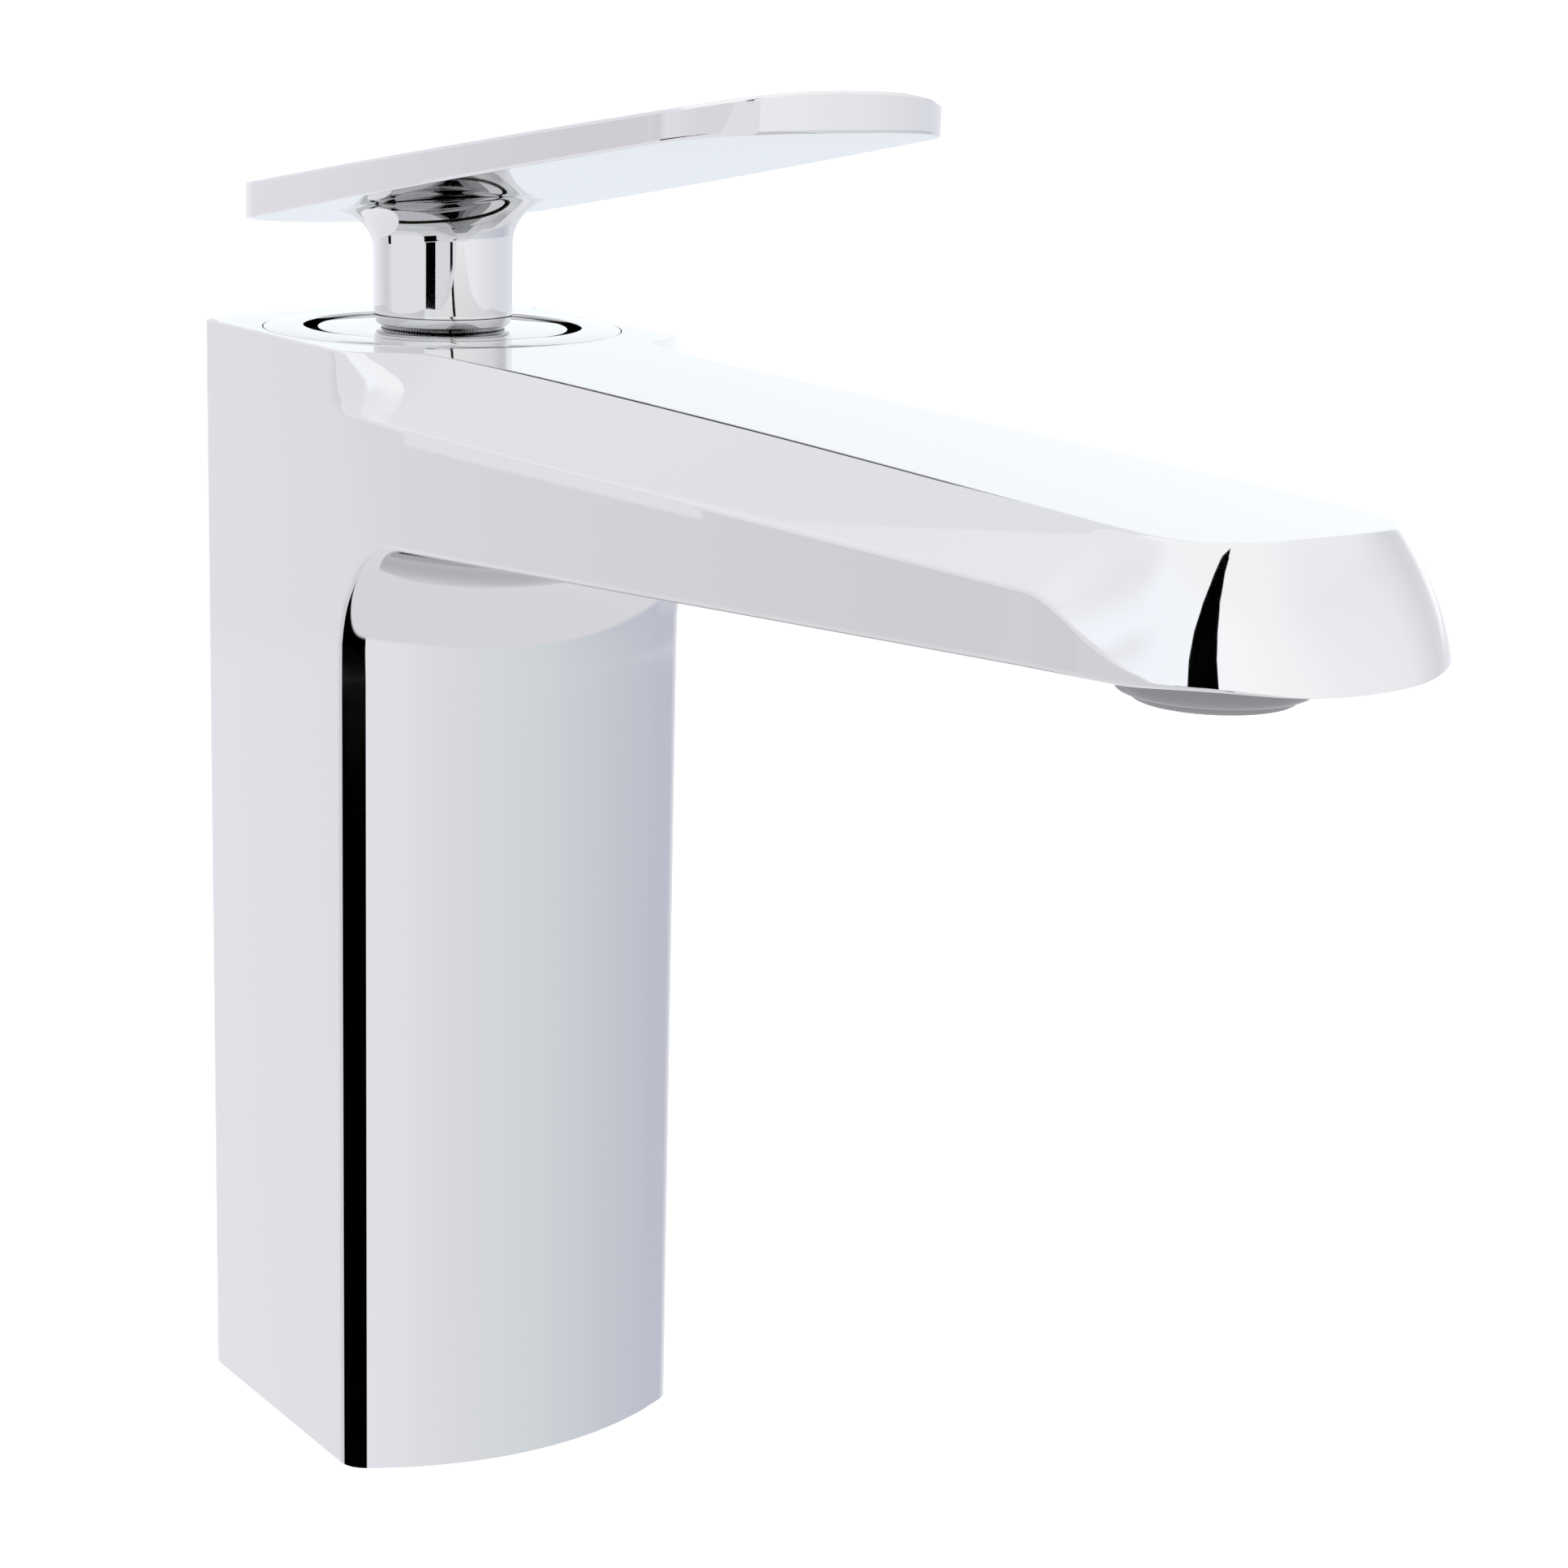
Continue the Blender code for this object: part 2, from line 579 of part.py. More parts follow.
def make_cartridge(root):
    profile = [
        (13.8, 95.0), (15.8, 95.0), (15.8, 117.5), (17.4, 117.5), (17.4, 118.6), (15.3, 118.6),
        (15.3, 121.4), (17.4, 121.4), (17.4, 123.2), (9.4, 123.2), (9.4, 120.4), (13.8, 120.4),
    ]
    housing = turned("cartridge_housing", [(r * MM, z * MM) for r, z in profile], 40)
    add_object("cartridge_housing", housing, white_plastic()).parent = root
    ring = turned("housing_o_ring", torus_profile(16.65 * MM, 1.05 * MM, 120 * MM), 32)
    add_object("housing_o_ring", ring, rubber()).parent = root
    profile = [(9.4, 119.3), (13.2, 119.3), (13.2, 120.1), (9.4, 120.1)]
    glide = turned("rotor_glide_ring", [(r * MM, z * MM) for r, z in profile], 32)
    add_object("rotor_glide_ring", glide, white_plastic()).parent = root

    profile = [(0, 88.4), (15.5, 88.4), (15.5, 94.7), (13.5, 94.7), (13.5, 103.7), (0, 103.7)]
    base = add_object(
        "cartridge_base", turned("cartridge_base", [(r * MM, z * MM) for r, z in profile], 40), grey_plastic()
    )
    base.parent = root
    for side, word in ((-1, "left"), (1, "right")):
        centre = (side * (PORT[0] + 0.7 * MM), PORT[1] + 0.4 * MM)
        combine(base, cylinder("inlet_" + word, 2.6 * MM, 88 * MM, 105 * MM, 20, centre))
        combine(base, cylinder("seal_seat_" + word, 4.9 * MM, 87 * MM, 90.2 * MM, 24, centre))
        profile = [(2.8, 88.3), (4.6, 88.3), (4.6, 89.9), (2.8, 89.9)]
        seal = turned("inlet_seal_" + word, [(r * MM, z * MM) for r, z in profile], 20, centre)
        add_object("inlet_seal_" + word, seal, rubber()).parent = root
    combine(base, cylinder("outlet", 3 * MM, 92 * MM, 105 * MM, 20, (0, -6.5 * MM)))
    combine(base, block("outlet_window", (-3.2 * MM, -17 * MM, 91 * MM), (3.2 * MM, -5 * MM, 94.2 * MM)))

    disc = add_object(
        "fixed_ceramic_disc", cylinder("fixed_ceramic_disc", 13.2 * MM, 104 * MM, 107.6 * MM, 40), ceramic()
    )
    disc.parent = root
    for side in (-1, 1):
        centre = (side * PORT[0], PORT[1])
        combine(disc, cylinder(f"inlet_{side}", 2.4 * MM, 103 * MM, 109 * MM, 20, centre))
    combine(disc, cylinder("outlet", 3 * MM, 103 * MM, 109 * MM, 20, (0, -6.5 * MM)))

    profile = [(12.2, 123.5), (17.7, 123.5), (17.7, 128.2), (16.9, 129.2), (12.2, 129.2)]
    nut = add_object("cartridge_nut", turned("cartridge_nut", [(r * MM, z * MM) for r, z in profile], 40), brass())
    nut.parent = root
    for k in range(3):
        notch = block(f"key_notch_{k}", (-20 * MM, -1.6 * MM, 127 * MM), (20 * MM, 1.6 * MM, 131 * MM))
        notch.transform(Matrix.Rotation(math.radians(60 * k), 4, "Z"))
        combine(nut, notch)


def make_aerator(root):
    centre = (0, AERATOR_Y)
    profile = [
        (7.9, 120.4), (8.7, 120.4), (9.2, 120.9), (9.2, 127.5), (8.3, 127.5), (8.3, 121.5), (7.9, 121.5),
    ]
    housing = turned("aerator_housing", [(r * MM, z * MM) for r, z in profile], 40, centre)
    add_object("aerator_housing", housing, grey_plastic()).parent = root
    profile = [(0, 119.5), (7.3, 119.6), (7.6, 119.9), (7.6, 121.8), (8.0, 121.8), (8.0, 124.5), (0, 124.5)]
    mesh = turned("aerator_honeycomb", [(r * MM, z * MM) for r, z in profile], 40, centre)
    insert = add_object("aerator_honeycomb", mesh, grey_plastic())
    insert.parent = root
    cells = []
    pitch = 2.9 * MM
    for row in range(-2, 3):
        count = 5 - abs(row)
        for k in range(count):
            x = (k - (count - 1) / 2) * pitch
            y = AERATOR_Y + row * pitch * math.sqrt(3) / 2
            cells.append(cylinder(f"cell_{row}_{k}", 1.25 * MM, 118 * MM, 126 * MM, 6, (x, y)))
    combine(insert, joined("cells", cells))
    disc = cylinder("flow_regulator", 8.0 * MM, 124.8 * MM, 126.9 * MM, 32, centre)
    regulator = add_object("flow_regulator", disc, white_plastic())
    regulator.parent = root
    for k in range(6):
        angle = math.radians(60 * k)
        hole = (5 * MM * math.cos(angle), AERATOR_Y + 5 * MM * math.sin(angle))
        combine(regulator, cylinder(f"jet_{k}", 0.9 * MM, 124 * MM, 128 * MM, 10, hole))
    profile = [(6.7, 127.8), (9.1, 127.8), (9.1, 128.7), (6.7, 128.7)]
    gasket = turned("aerator_gasket", [(r * MM, z * MM) for r, z in profile], 32, centre)
    add_object("aerator_gasket", gasket, rubber()).parent = root


def empty(name, location, parent=None):
    made = bpy.data.objects.new(name, None)
    bpy.context.scene.collection.objects.link(made)
    made.location = location
    made.parent = parent
    bpy.context.view_layer.update()
    return made


def main():
    clear_scene()
    root = empty("mixer", (0, 0, 0))
    turret = empty("temperature_axis", (0, 0, 0), root)
    tilt = empty("tilt_axis", (0, 0, PIVOT_HEIGHT), turret)
    slide = empty("slide_axis", (0, DISC_REST_Y, 0), turret)
    make_body(root)
    make_fixed_trim(root)
    make_cartridge(root)
    make_aerator(root)
    make_turret(turret)
    make_slide(slide)
    make_lever(tilt)


main()
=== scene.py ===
"""Looks for a single-lever basin mixer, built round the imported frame.

Metres, +Z up, the origin at the centre of the base, the spout along -Y. Fine chrome surfaces replace the
frame's plain ones, the inner pieces keep theirs, and every piece gets a procedural material.
"""

import json
import math

import bmesh
import bpy
from mathutils import Matrix, Vector


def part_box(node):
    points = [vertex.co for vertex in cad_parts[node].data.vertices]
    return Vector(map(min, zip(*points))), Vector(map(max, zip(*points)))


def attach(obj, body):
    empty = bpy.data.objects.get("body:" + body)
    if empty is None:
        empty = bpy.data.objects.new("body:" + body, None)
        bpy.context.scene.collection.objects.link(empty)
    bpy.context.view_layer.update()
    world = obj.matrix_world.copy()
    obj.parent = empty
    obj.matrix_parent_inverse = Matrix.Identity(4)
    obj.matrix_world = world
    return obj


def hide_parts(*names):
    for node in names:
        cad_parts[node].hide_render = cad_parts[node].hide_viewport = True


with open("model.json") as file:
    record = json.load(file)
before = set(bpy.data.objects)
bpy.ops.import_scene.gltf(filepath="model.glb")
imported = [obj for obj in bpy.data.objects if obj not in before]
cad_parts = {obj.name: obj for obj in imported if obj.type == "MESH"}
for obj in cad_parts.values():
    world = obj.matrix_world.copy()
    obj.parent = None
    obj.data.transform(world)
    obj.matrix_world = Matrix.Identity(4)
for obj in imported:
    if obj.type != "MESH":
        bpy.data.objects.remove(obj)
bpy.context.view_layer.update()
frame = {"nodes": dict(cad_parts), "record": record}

MM = 0.001
# Points nearer to each other than this become one
WELD = 0.000002

# The nodes that this script's own pieces replace
REPLACED_NODES = (
    "body_casting", "trim_ring", "cap_disc", "lever_handle", "aerator_housing", "aerator_honeycomb",
)

# Sizes read from the frame
BODY_LOW, BODY_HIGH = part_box("body_casting")
RING_LOW, RING_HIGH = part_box("trim_ring")
DISC_LOW, DISC_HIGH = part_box("cap_disc")
LEVER_LOW, LEVER_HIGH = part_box("lever_handle")
AERATOR_LOW, AERATOR_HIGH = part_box("aerator_housing")
HONEYCOMB_LOW, HONEYCOMB_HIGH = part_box("aerator_honeycomb")

# Column and spout
HALF_WIDTH = BODY_HIGH.x
HEIGHT = BODY_HIGH.z
FACE_BULGE = 6.7 * MM
CORNER_DEPTH = BODY_HIGH.y - FACE_BULGE
FILLET = 14 * MM
UNDERSIDE_START = 115.6 * MM
UNDERSIDE_SLOPE = 0.064
UNDERSIDE_CROWN = 2.3 * MM
TIP_HALF_WIDTH = 19.24 * MM
TIP_LENGTH = 24.8 * MM
TIP_START = BODY_LOW.y + TIP_LENGTH
TIP_POWER = 2.67
TOP_TIP_HALF_WIDTH = 13.6 * MM
TOP_TIP_LENGTH = 17.4 * MM
TOP_TIP_POWER = 4.5
TOP_FALL = 1.45 * MM
TOP_FALL_RUN = 140 * MM
TOP_EDGE = 13 * MM
LIP_RISE = 0.9 * MM
LIP_START = -155 * MM
LIP_RUN = 12 * MM
NOSE_Y = -15.3 * MM
NOSE_RISE = 0.2
NOSE_LEAN = 3.2 * MM
NOSE_RUN = 15 * MM
NOSE_RUN_LOSS = 6 * MM
SHOULDER_Y = -22 * MM
SHOULDER_EXTRA = 2.6 * MM
SHOULDER_RUN = 10 * MM
TOP_FLARE_START = -90 * MM
TOP_FLARE_LENGTH = 55 * MM
CREASE_HEIGHT = 130.4 * MM
CREASE_DROP_START = -145 * MM
CREASE_DROP_END = -161 * MM
CORNER_REACH = 2.5 * MM
BACK_REACH = 1.6 * MM
MIDDLE_ROOM = 2.3
BASE_EDGE = 0.3 * MM
TOP_ROUND = 0.4 * MM
FLANK_Y = 15.4 * MM
BACK_BULGE_END = -5 * MM
BACK_BULGE_RUN = 25 * MM
LOWER_EDGE_REACH = 0.7 * MM
TIP_EDGE_REACH = 0.6 * MM
TIP_BULGE = 0.85 * MM
TIP_CREASE_RISE = 0.06
CREASE_REACH = 0.35 * MM
TOP_EDGE_REACH = 0.3 * MM
INNER_COUNT = 36
OUTER_COUNT = 24
FACET_STEPS = 12
SPOUT_STEPS = 30
TIP_STEPS = 40

# What the polished sides mirror, by (degrees from -Y towards +X, colour)
WARM = (1.22, 1.2, 1.27)
BLACK = (0, 0, 0)
DUSK = (1.02, 1.0, 1.05)
BACK_LOW = (0.92, 0.965, 1.03)
LOW_WALL = (
    (-180, WARM),
    (-158, WARM),
    (-147, (1.09, 1.075, 1.13)),
    (-140, DUSK),
    (-129, DUSK),
    (-128, BLACK),
    (-35, BLACK),
    (-34, (1.27, 1.25, 1.32)),
    (0, (1.12, 1.13, 1.17)),
    (28, (1.02, 1.075, 1.12)),
    (60, (0.9, 0.93, 1.02)),
    (88, (0.8, 0.83, 0.95)),
    (115, (1.1, 1.1, 1.16)),
    (138, BACK_LOW),
    (165, BACK_LOW),
    (180, WARM),
)
HIGH_WALL = (
    (-180, WARM),
    (-159, (1.19, 1.175, 1.235)),
    (-150, (1.1, 1.085, 1.14)),
    (-140, DUSK),
    (-131, DUSK),
    (-118, WARM),
    (-60, (1.1, 1.1, 1.15)),
    (-10, (1.12, 1.1, 1.15)),
    (0, (1.36, 1.34, 1.39)),
    (26, (1.33, 1.31, 1.36)),
    (60, (1.17, 1.17, 1.22)),
    (88, (1.1, 1.12, 1.2)),
    (115, (1.1, 1.1, 1.16)),
    (138, BACK_LOW),
    (165, BACK_LOW),
    (180, WARM),
)
BELOW = (1.1, 1.08, 1.12)
COOL = (1.12, 1.165, 1.205)
ZENITH = (1.48, 1.47, 1.5)
SKY = (
    (-180, WARM),
    (-176, WARM),
    (-165, (1.31, 1.3, 1.36)),
    (-122, (1.31, 1.3, 1.36)),
    (-104, (1.46, 1.51, 1.58)),
    (-60, (1.48, 1.52, 1.58)),
    (-20, (1.53, 1.52, 1.53)),
    (30, (1.45, 1.43, 1.47)),
    (60, (1.32, 1.32, 1.37)),
    (84, (1.08, 1.08, 1.12)),
    (97, (1.08, 1.09, 1.13)),
    (112, (1.5, 1.53, 1.55)),
    (150, COOL),
    (166, COOL),
    (178, WARM),
    (180, WARM),
)

NEAR_SKY = ((-180, WARM), (-100, WARM), (-88, (1.46, 1.51, 1.58))) + SKY[5:]

# Elevations in degrees between which the room goes over to each next set of colours, from below upwards
ROOM_LAYERS = (
    (-28, -25.5, LOW_WALL),
    (-11.6, -11.0, HIGH_WALL),
    (-1.5, -0.5, NEAR_SKY),
    (20, 27, SKY),
)
ZENITH_START, ZENITH_END = 38, 50

# The dark card that the spout's tip mirrors: its outline by (heading, elevation) from the tip, in degrees
TIP_FLAG_CENTRE = (-12, -163, 130)
TIP_FLAG_DISTANCE = 45
TIP_FLAG = (
    (-69, -8), (-44, -8), (-44, 1), (-43, 19), (-39, 34), (-30, 49), (-8, 61), (13, 64),
    (30, 66), (2, 67), (-33, 61), (-57, 45), (-66, 29), (-69, 13),
)

# Hollows that show
CHAMBER_RADIUS = 18 * MM
CHAMBER_FLOOR = 88 * MM
RING_SEAT_RADIUS = RING_HIGH.x + 0.12 * MM
RING_SEAT_FLOOR = RING_LOW.z - 0.3 * MM
AERATOR_Y = (AERATOR_LOW.y + AERATOR_HIGH.y) / 2
AERATOR_RADIUS = (AERATOR_HIGH.x - AERATOR_LOW.x) / 2
AERATOR_BORE_GAP = 0.3 * MM
AERATOR_BORE_LOW, AERATOR_BORE_HIGH = 110 * MM, 129 * MM
CUT_ROOM = 5 * MM
WEB_HALF = 5.5 * MM
POCKET_SIDE = 18 * MM
POCKET_DEPTH = 15.5 * MM
POCKET_TOP = 70 * MM

# Lever
STEM_RADIUS = 8.5 * MM
STEM_FLARE = 5 * MM
STEM_FLARE_ANGLE = math.radians(86)
STEM_BOTTOM = LEVER_LOW.z
STEM_INSET = 0.9 * MM
STEM_LIP = 0.45 * MM
SOCKET_HALF = 3.8 * MM
SOCKET_LOW, SOCKET_HIGH = 137 * MM, 148 * MM
SCREW_RADIUS = 2.7 * MM
SCREW_HEIGHT = 143 * MM
BLADE_RISE = 0.1583
BLADE_UNDERSIDE = 152.4 * MM
BLADE_THICKNESS = 4.2 * MM
BLADE_TAPER = 0.0113
BLADE_CROWN = 1.15 * MM
BLADE_EDGE = 0.4 * MM
BLADE_HALF_WIDTH = LEVER_HIGH.x
BLADE_BACK_RADIUS = 24 * MM
BLADE_NARROWING = 3.4 * MM
BLADE_NARROWING_START = -5 * MM
BLADE_NARROWING_RUN = 70 * MM
BLADE_SPINE_BACK = 6 * MM
BLADE_CORNER_START = -76 * MM
BLADE_FRONT = -86.8 * MM
BLADE_POWER = 2.6

# Ring, disc and aerator
RING_INNER = 17 * MM
DISC_HOLE = 3.9 * MM
DISC_TAPER = 0.95 * MM
DISC_EDGE = 0.5 * MM
RIM_LIP = 7.9 * MM
RIM_BORE = 8.3 * MM
RIM_LIP_HEIGHT = 1.1 * MM
CELL_RADIUS = 1.02 * MM
CELL_PITCH = 2.05 * MM
CELL_RINGS = 3


def smoothstep(t):
    t = min(max(t, 0.0), 1.0)
    return t * t * (3 - 2 * t)


def blend_value(start, end, share):
    return start + (end - start) * share


# ---------------------------------------------------------------- materials


def new_material(name, colour, roughness, metallic):
    made = bpy.data.materials.new(name)
    made.use_nodes = True
    shader = made.node_tree.nodes["Principled BSDF"]
    shader.inputs["Base Color"].default_value = (*colour, 1)
    shader.inputs["Roughness"].default_value = roughness
    shader.inputs["Metallic"].default_value = metallic
    return made, made.node_tree, shader


def noise(tree, scale, detail, stretch=(1, 1, 1)):
    where = tree.nodes.new("ShaderNodeTexCoord")
    mapping = tree.nodes.new("ShaderNodeMapping")
    mapping.inputs["Scale"].default_value = stretch
    tree.links.new(where.outputs["Object"], mapping.inputs["Vector"])
    made = tree.nodes.new("ShaderNodeTexNoise")
    made.inputs["Scale"].default_value = scale
    made.inputs["Detail"].default_value = detail
    tree.links.new(mapping.outputs["Vector"], made.inputs["Vector"])
    return made.outputs["Fac"]


def ranged(tree, value, low, high):
    made = tree.nodes.new("ShaderNodeMapRange")
    made.inputs["To Min"].default_value = low
    made.inputs["To Max"].default_value = high
    tree.links.new(value, made.inputs["Value"])
    return made.outputs["Result"]


def tinted(tree, value, first, second):
    made = tree.nodes.new("ShaderNodeMix")
    made.data_type = "RGBA"
    made.inputs["A"].default_value = (*first, 1)
    made.inputs["B"].default_value = (*second, 1)
    tree.links.new(value, made.inputs["Factor"])
    return made.outputs["Result"]


def bump(tree, shader, value, distance, strength):
    made = tree.nodes.new("ShaderNodeBump")
    made.inputs["Distance"].default_value = distance
    made.inputs["Strength"].default_value = strength
    tree.links.new(value, made.inputs["Height"])
    tree.links.new(made.outputs["Normal"], shader.inputs["Normal"])


def chrome():
    """Polished chrome plate: faint blue-grey drift in its colour and a trace of haze from wiping."""
    made, tree, shader = new_material("polished_chrome", (0.6, 0.605, 0.61), 0.04, 1.0)
    drift = noise(tree, 9.0, 1.0)
    colour = tinted(tree, drift, (0.595, 0.597, 0.6), (0.61, 0.612, 0.616))
    tree.links.new(colour, shader.inputs["Base Color"])
    haze = noise(tree, 140.0, 3.0)
    tree.links.new(ranged(tree, haze, 0.02, 0.06), shader.inputs["Roughness"])
    return made


def machined(name, dark, light, roughness):
    """Bare metal with fine turning marks along its height."""
    made, tree, shader = new_material(name, light, roughness, 1.0)
    marks = noise(tree, 60.0, 2.0, stretch=(1, 1, 60))
    tree.links.new(tinted(tree, marks, dark, light), shader.inputs["Base Color"])
    tree.links.new(ranged(tree, marks, roughness - 0.07, roughness + 0.1), shader.inputs["Roughness"])
    bump(tree, shader, marks, 0.00005, 0.3)
    return made


def moulded(name, dark, light, roughness, grain=900.0):
    """Moulded plastic or rubber: spark-eroded grain and a slight mottle."""
    made, tree, shader = new_material(name, light, roughness, 0.0)
    mottle = noise(tree, 45.0, 2.0)
    tree.links.new(tinted(tree, mottle, dark, light), shader.inputs["Base Color"])
    fine = noise(tree, grain, 3.0)
    tree.links.new(ranged(tree, fine, roughness - 0.08, roughness + 0.08), shader.inputs["Roughness"])
    bump(tree, shader, fine, 0.00004, 0.25)
    return made


def make_materials():
    return {
        "chrome": chrome(),
        "brass": machined("machined_brass", (0.66, 0.5, 0.24), (0.8, 0.63, 0.34), 0.28),
        "steel": machined("machined_steel", (0.5, 0.5, 0.52), (0.66, 0.66, 0.67), 0.28),
        "white_plastic": moulded("white_acetal", (0.76, 0.76, 0.74), (0.84, 0.84, 0.82), 0.4),
        "grey_plastic": moulded("grey_polymer", (0.15, 0.153, 0.165), (0.2, 0.204, 0.215), 0.3),
        "ceramic": moulded("lapped_ceramic", (0.82, 0.8, 0.76), (0.9, 0.88, 0.84), 0.16, 400.0),
        "rubber": moulded("black_rubber", (0.018, 0.018, 0.02), (0.035, 0.035, 0.037), 0.62),
    }


# ---------------------------------------------------------------- mesh helpers


def add_piece(name, mesh, finish, body, node, sharp=35):
    made = bpy.data.objects.new(name, mesh)
    bpy.context.scene.collection.objects.link(made)
    mesh.materials.append(finish)
    mesh.shade_smooth()
    mesh.set_sharp_from_angle(angle=math.radians(sharp))
    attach(made, body)
    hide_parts(node)
    return made


def finish_mesh(name, shape):
    bmesh.ops.remove_doubles(shape, verts=shape.verts, dist=WELD)
    bmesh.ops.dissolve_degenerate(shape, edges=shape.edges, dist=WELD)
    bmesh.ops.recalc_face_normals(shape, faces=shape.faces)
    mesh = bpy.data.meshes.new(name)
    shape.to_mesh(mesh)
    shape.free()
    return mesh


def lofted(name, loops, cap_first=True, cap_last=True):
    shape = bmesh.new()
    rows = [[shape.verts.new(point) for point in loop] for loop in loops]
    for near, far in zip(rows, rows[1:]):
        for k in range(len(near)):
            after = (k + 1) % len(near)
            shape.faces.new((near[k], near[after], far[after], far[k]))
    if cap_first:
        shape.faces.new(rows[0])
    if cap_last:
        shape.faces.new(rows[-1])
    return finish_mesh(name, shape)


def turned(name, profile, segments, centre=(0, 0)):
    """A solid of revolution from (radius, height) pairs, full if the profile starts and ends on the axis."""
    shape = bmesh.new()
    full = profile[0][0] == 0
    rows = []
    for radius, height in profile:
        row = []
        for k in range(segments):
            angle = 2 * math.pi * k / segments
            x = centre[0] + radius * math.cos(angle)
            y = centre[1] + radius * math.sin(angle)
            row.append(shape.verts.new((x, y, height)))
        rows.append(row)
    pairs = list(zip(rows, rows[1:]))
    if not full:
        pairs.append((rows[-1], rows[0]))
    for near, far in pairs:
        for k in range(segments):
            after = (k + 1) % segments
            shape.faces.new((near[k], near[after], far[after], far[k]))
    return finish_mesh(name, shape)


def softened(before, corner, after, reach, steps):
    """Points of a small tangent curve in place of a corner."""
    before, corner, after = Vector(before), Vector(corner), Vector(after)
    start_reach = min(reach, 0.45 * (before - corner).length)
    end_reach = min(reach, 0.45 * (after - corner).length)
    start, end = corner.copy(), corner.copy()
    if start_reach > 0:
        start = corner + (before - corner).normalized() * start_reach
    if end_reach > 0:
        end = corner + (after - corner).normalized() * end_reach
    points = []
    for k in range(steps + 1):
        t = k / steps
        points.append(start * (1 - t) ** 2 + corner * 2 * t * (1 - t) + end * t * t)
    return points


def rounded_profile(corners, reaches, steps):
    """(radius, height) pairs of a closed outline with every corner softened by its own reach."""
    result = []
    for k, (corner, reach) in enumerate(zip(corners, reaches)):
        before, after = corners[k - 1], corners[(k + 1) % len(corners)]
        for point in softened((*before, 0), (*corner, 0), (*after, 0), reach, steps):
            result.append((point.x, point.y))
    return result


def cut(target, meshes):
    """Subtracts closed meshes and bakes the result into the target's own mesh."""
    cutters = []
    for mesh in meshes:
        cutter = bpy.data.objects.new("cutter", mesh)
        bpy.context.scene.collection.objects.link(cutter)
        step = target.modifiers.new("cut", "BOOLEAN")
        step.object = cutter
        step.solver = "EXACT"
        cutters.append(cutter)
    bake(target, cutters)


def bake(target, helpers):
    """Bakes the modifiers into the target's own mesh."""
    graph = bpy.context.evaluated_depsgraph_get()
    graph.update()
    baked = bpy.data.meshes.new_from_object(target.evaluated_get(graph))
    target.modifiers.clear()
    target.data = baked
    for helper in helpers:
        bpy.data.objects.remove(helper)


def weigh_normals(target):
    """Weights the normals by area, so that a flat face stays flat beside its rounding."""
    step = target.modifiers.new("normals", "WEIGHTED_NORMAL")
    step.weight = 100
    step.keep_sharp = True
    bake(target, [])


def flatten_sides(target):
    """Gives every corner on a flat side face that face's own normal."""
    mesh = target.data
    flat = set()
    for face in mesh.polygons:
        if abs(face.normal.x) > 0.99999:
            flat.update(face.vertices)
    normals = [corner.vector.copy() for corner in mesh.corner_normals]
    for k, loop in enumerate(mesh.loops):
        if loop.vertex_index in flat and abs(normals[k].x) > 0.75:
            normals[k] = Vector((math.copysign(1, normals[k].x), 0, 0))
    mesh.normals_split_custom_set(normals)


def cylinder_mesh(name, radius, low, high, segments, centre=(0, 0)):
    return turned(name, [(0, low), (radius, low), (radius, high), (0, high)], segments, centre)


def block_mesh(name, low, high):
    corners = [(low[0], low[1]), (high[0], low[1]), (high[0], high[1]), (low[0], high[1])]
    return lofted(name, [[(x, y, z) for x, y in corners] for z in (low[2], high[2])])


# ---------------------------------------------------------------- column and spout


def face_depth(share):
    return CORNER_DEPTH + FACE_BULGE * (1 - share**2)


def side_x(y):
    """Half width of the body at y: it tapers along the spout, easing in from the column."""
    ease = 0.08
    t = min(max((-y - CORNER_DEPTH) / (-TIP_START - CORNER_DEPTH), 0.0), 1.0)
    eased = (math.sqrt(t * t + ease * ease) - ease) / (math.sqrt(1 + ease * ease) - ease)
    return blend_value(HALF_WIDTH, TIP_HALF_WIDTH, eased)


def underside_z(x, y):
    edge = UNDERSIDE_START + UNDERSIDE_SLOPE * (-y - CORNER_DEPTH)
    lip = LIP_RISE * smoothstep((LIP_START - y) / LIP_RUN)
    return edge + lip - UNDERSIDE_CROWN * (1 - min((x / side_x(y)) ** 2, 1.0))


def top_z(y):
    return HEIGHT - TOP_FALL * (max(-y - CORNER_DEPTH, 0.0) / TOP_FALL_RUN) ** 2


def facet_x(y, rise):
    """Half width on the facet from its crease (rise 0) to its top (rise 1), fading into the column's side."""
    start = NOSE_Y - NOSE_LEAN * max(1 - rise / NOSE_RISE, 0.0) ** 2
    share = (start - y) / (NOSE_RUN - NOSE_RUN_LOSS * rise**3)
    swept = TOP_EDGE + SHOULDER_EXTRA * math.exp((y - SHOULDER_Y) / SHOULDER_RUN)
    widening = smoothstep((TOP_FLARE_START - y) / TOP_FLARE_LENGTH)
    full_top = swept + (TOP_TIP_HALF_WIDTH - TOP_EDGE) * widening
    reached = rise * smoothstep(share) ** (1 + rise**2)
    return side_x(y) - (side_x(y) - full_top) * reached


def top_edge_x(y):
    return facet_x(y, 1.0)


def rounded_end(half_width, length, power, angle):
    x = half_width * max(math.cos(angle), 0.0) ** (2 / power)
    y = TIP_START - length * math.sin(angle) ** (2 / power)
    return x, y


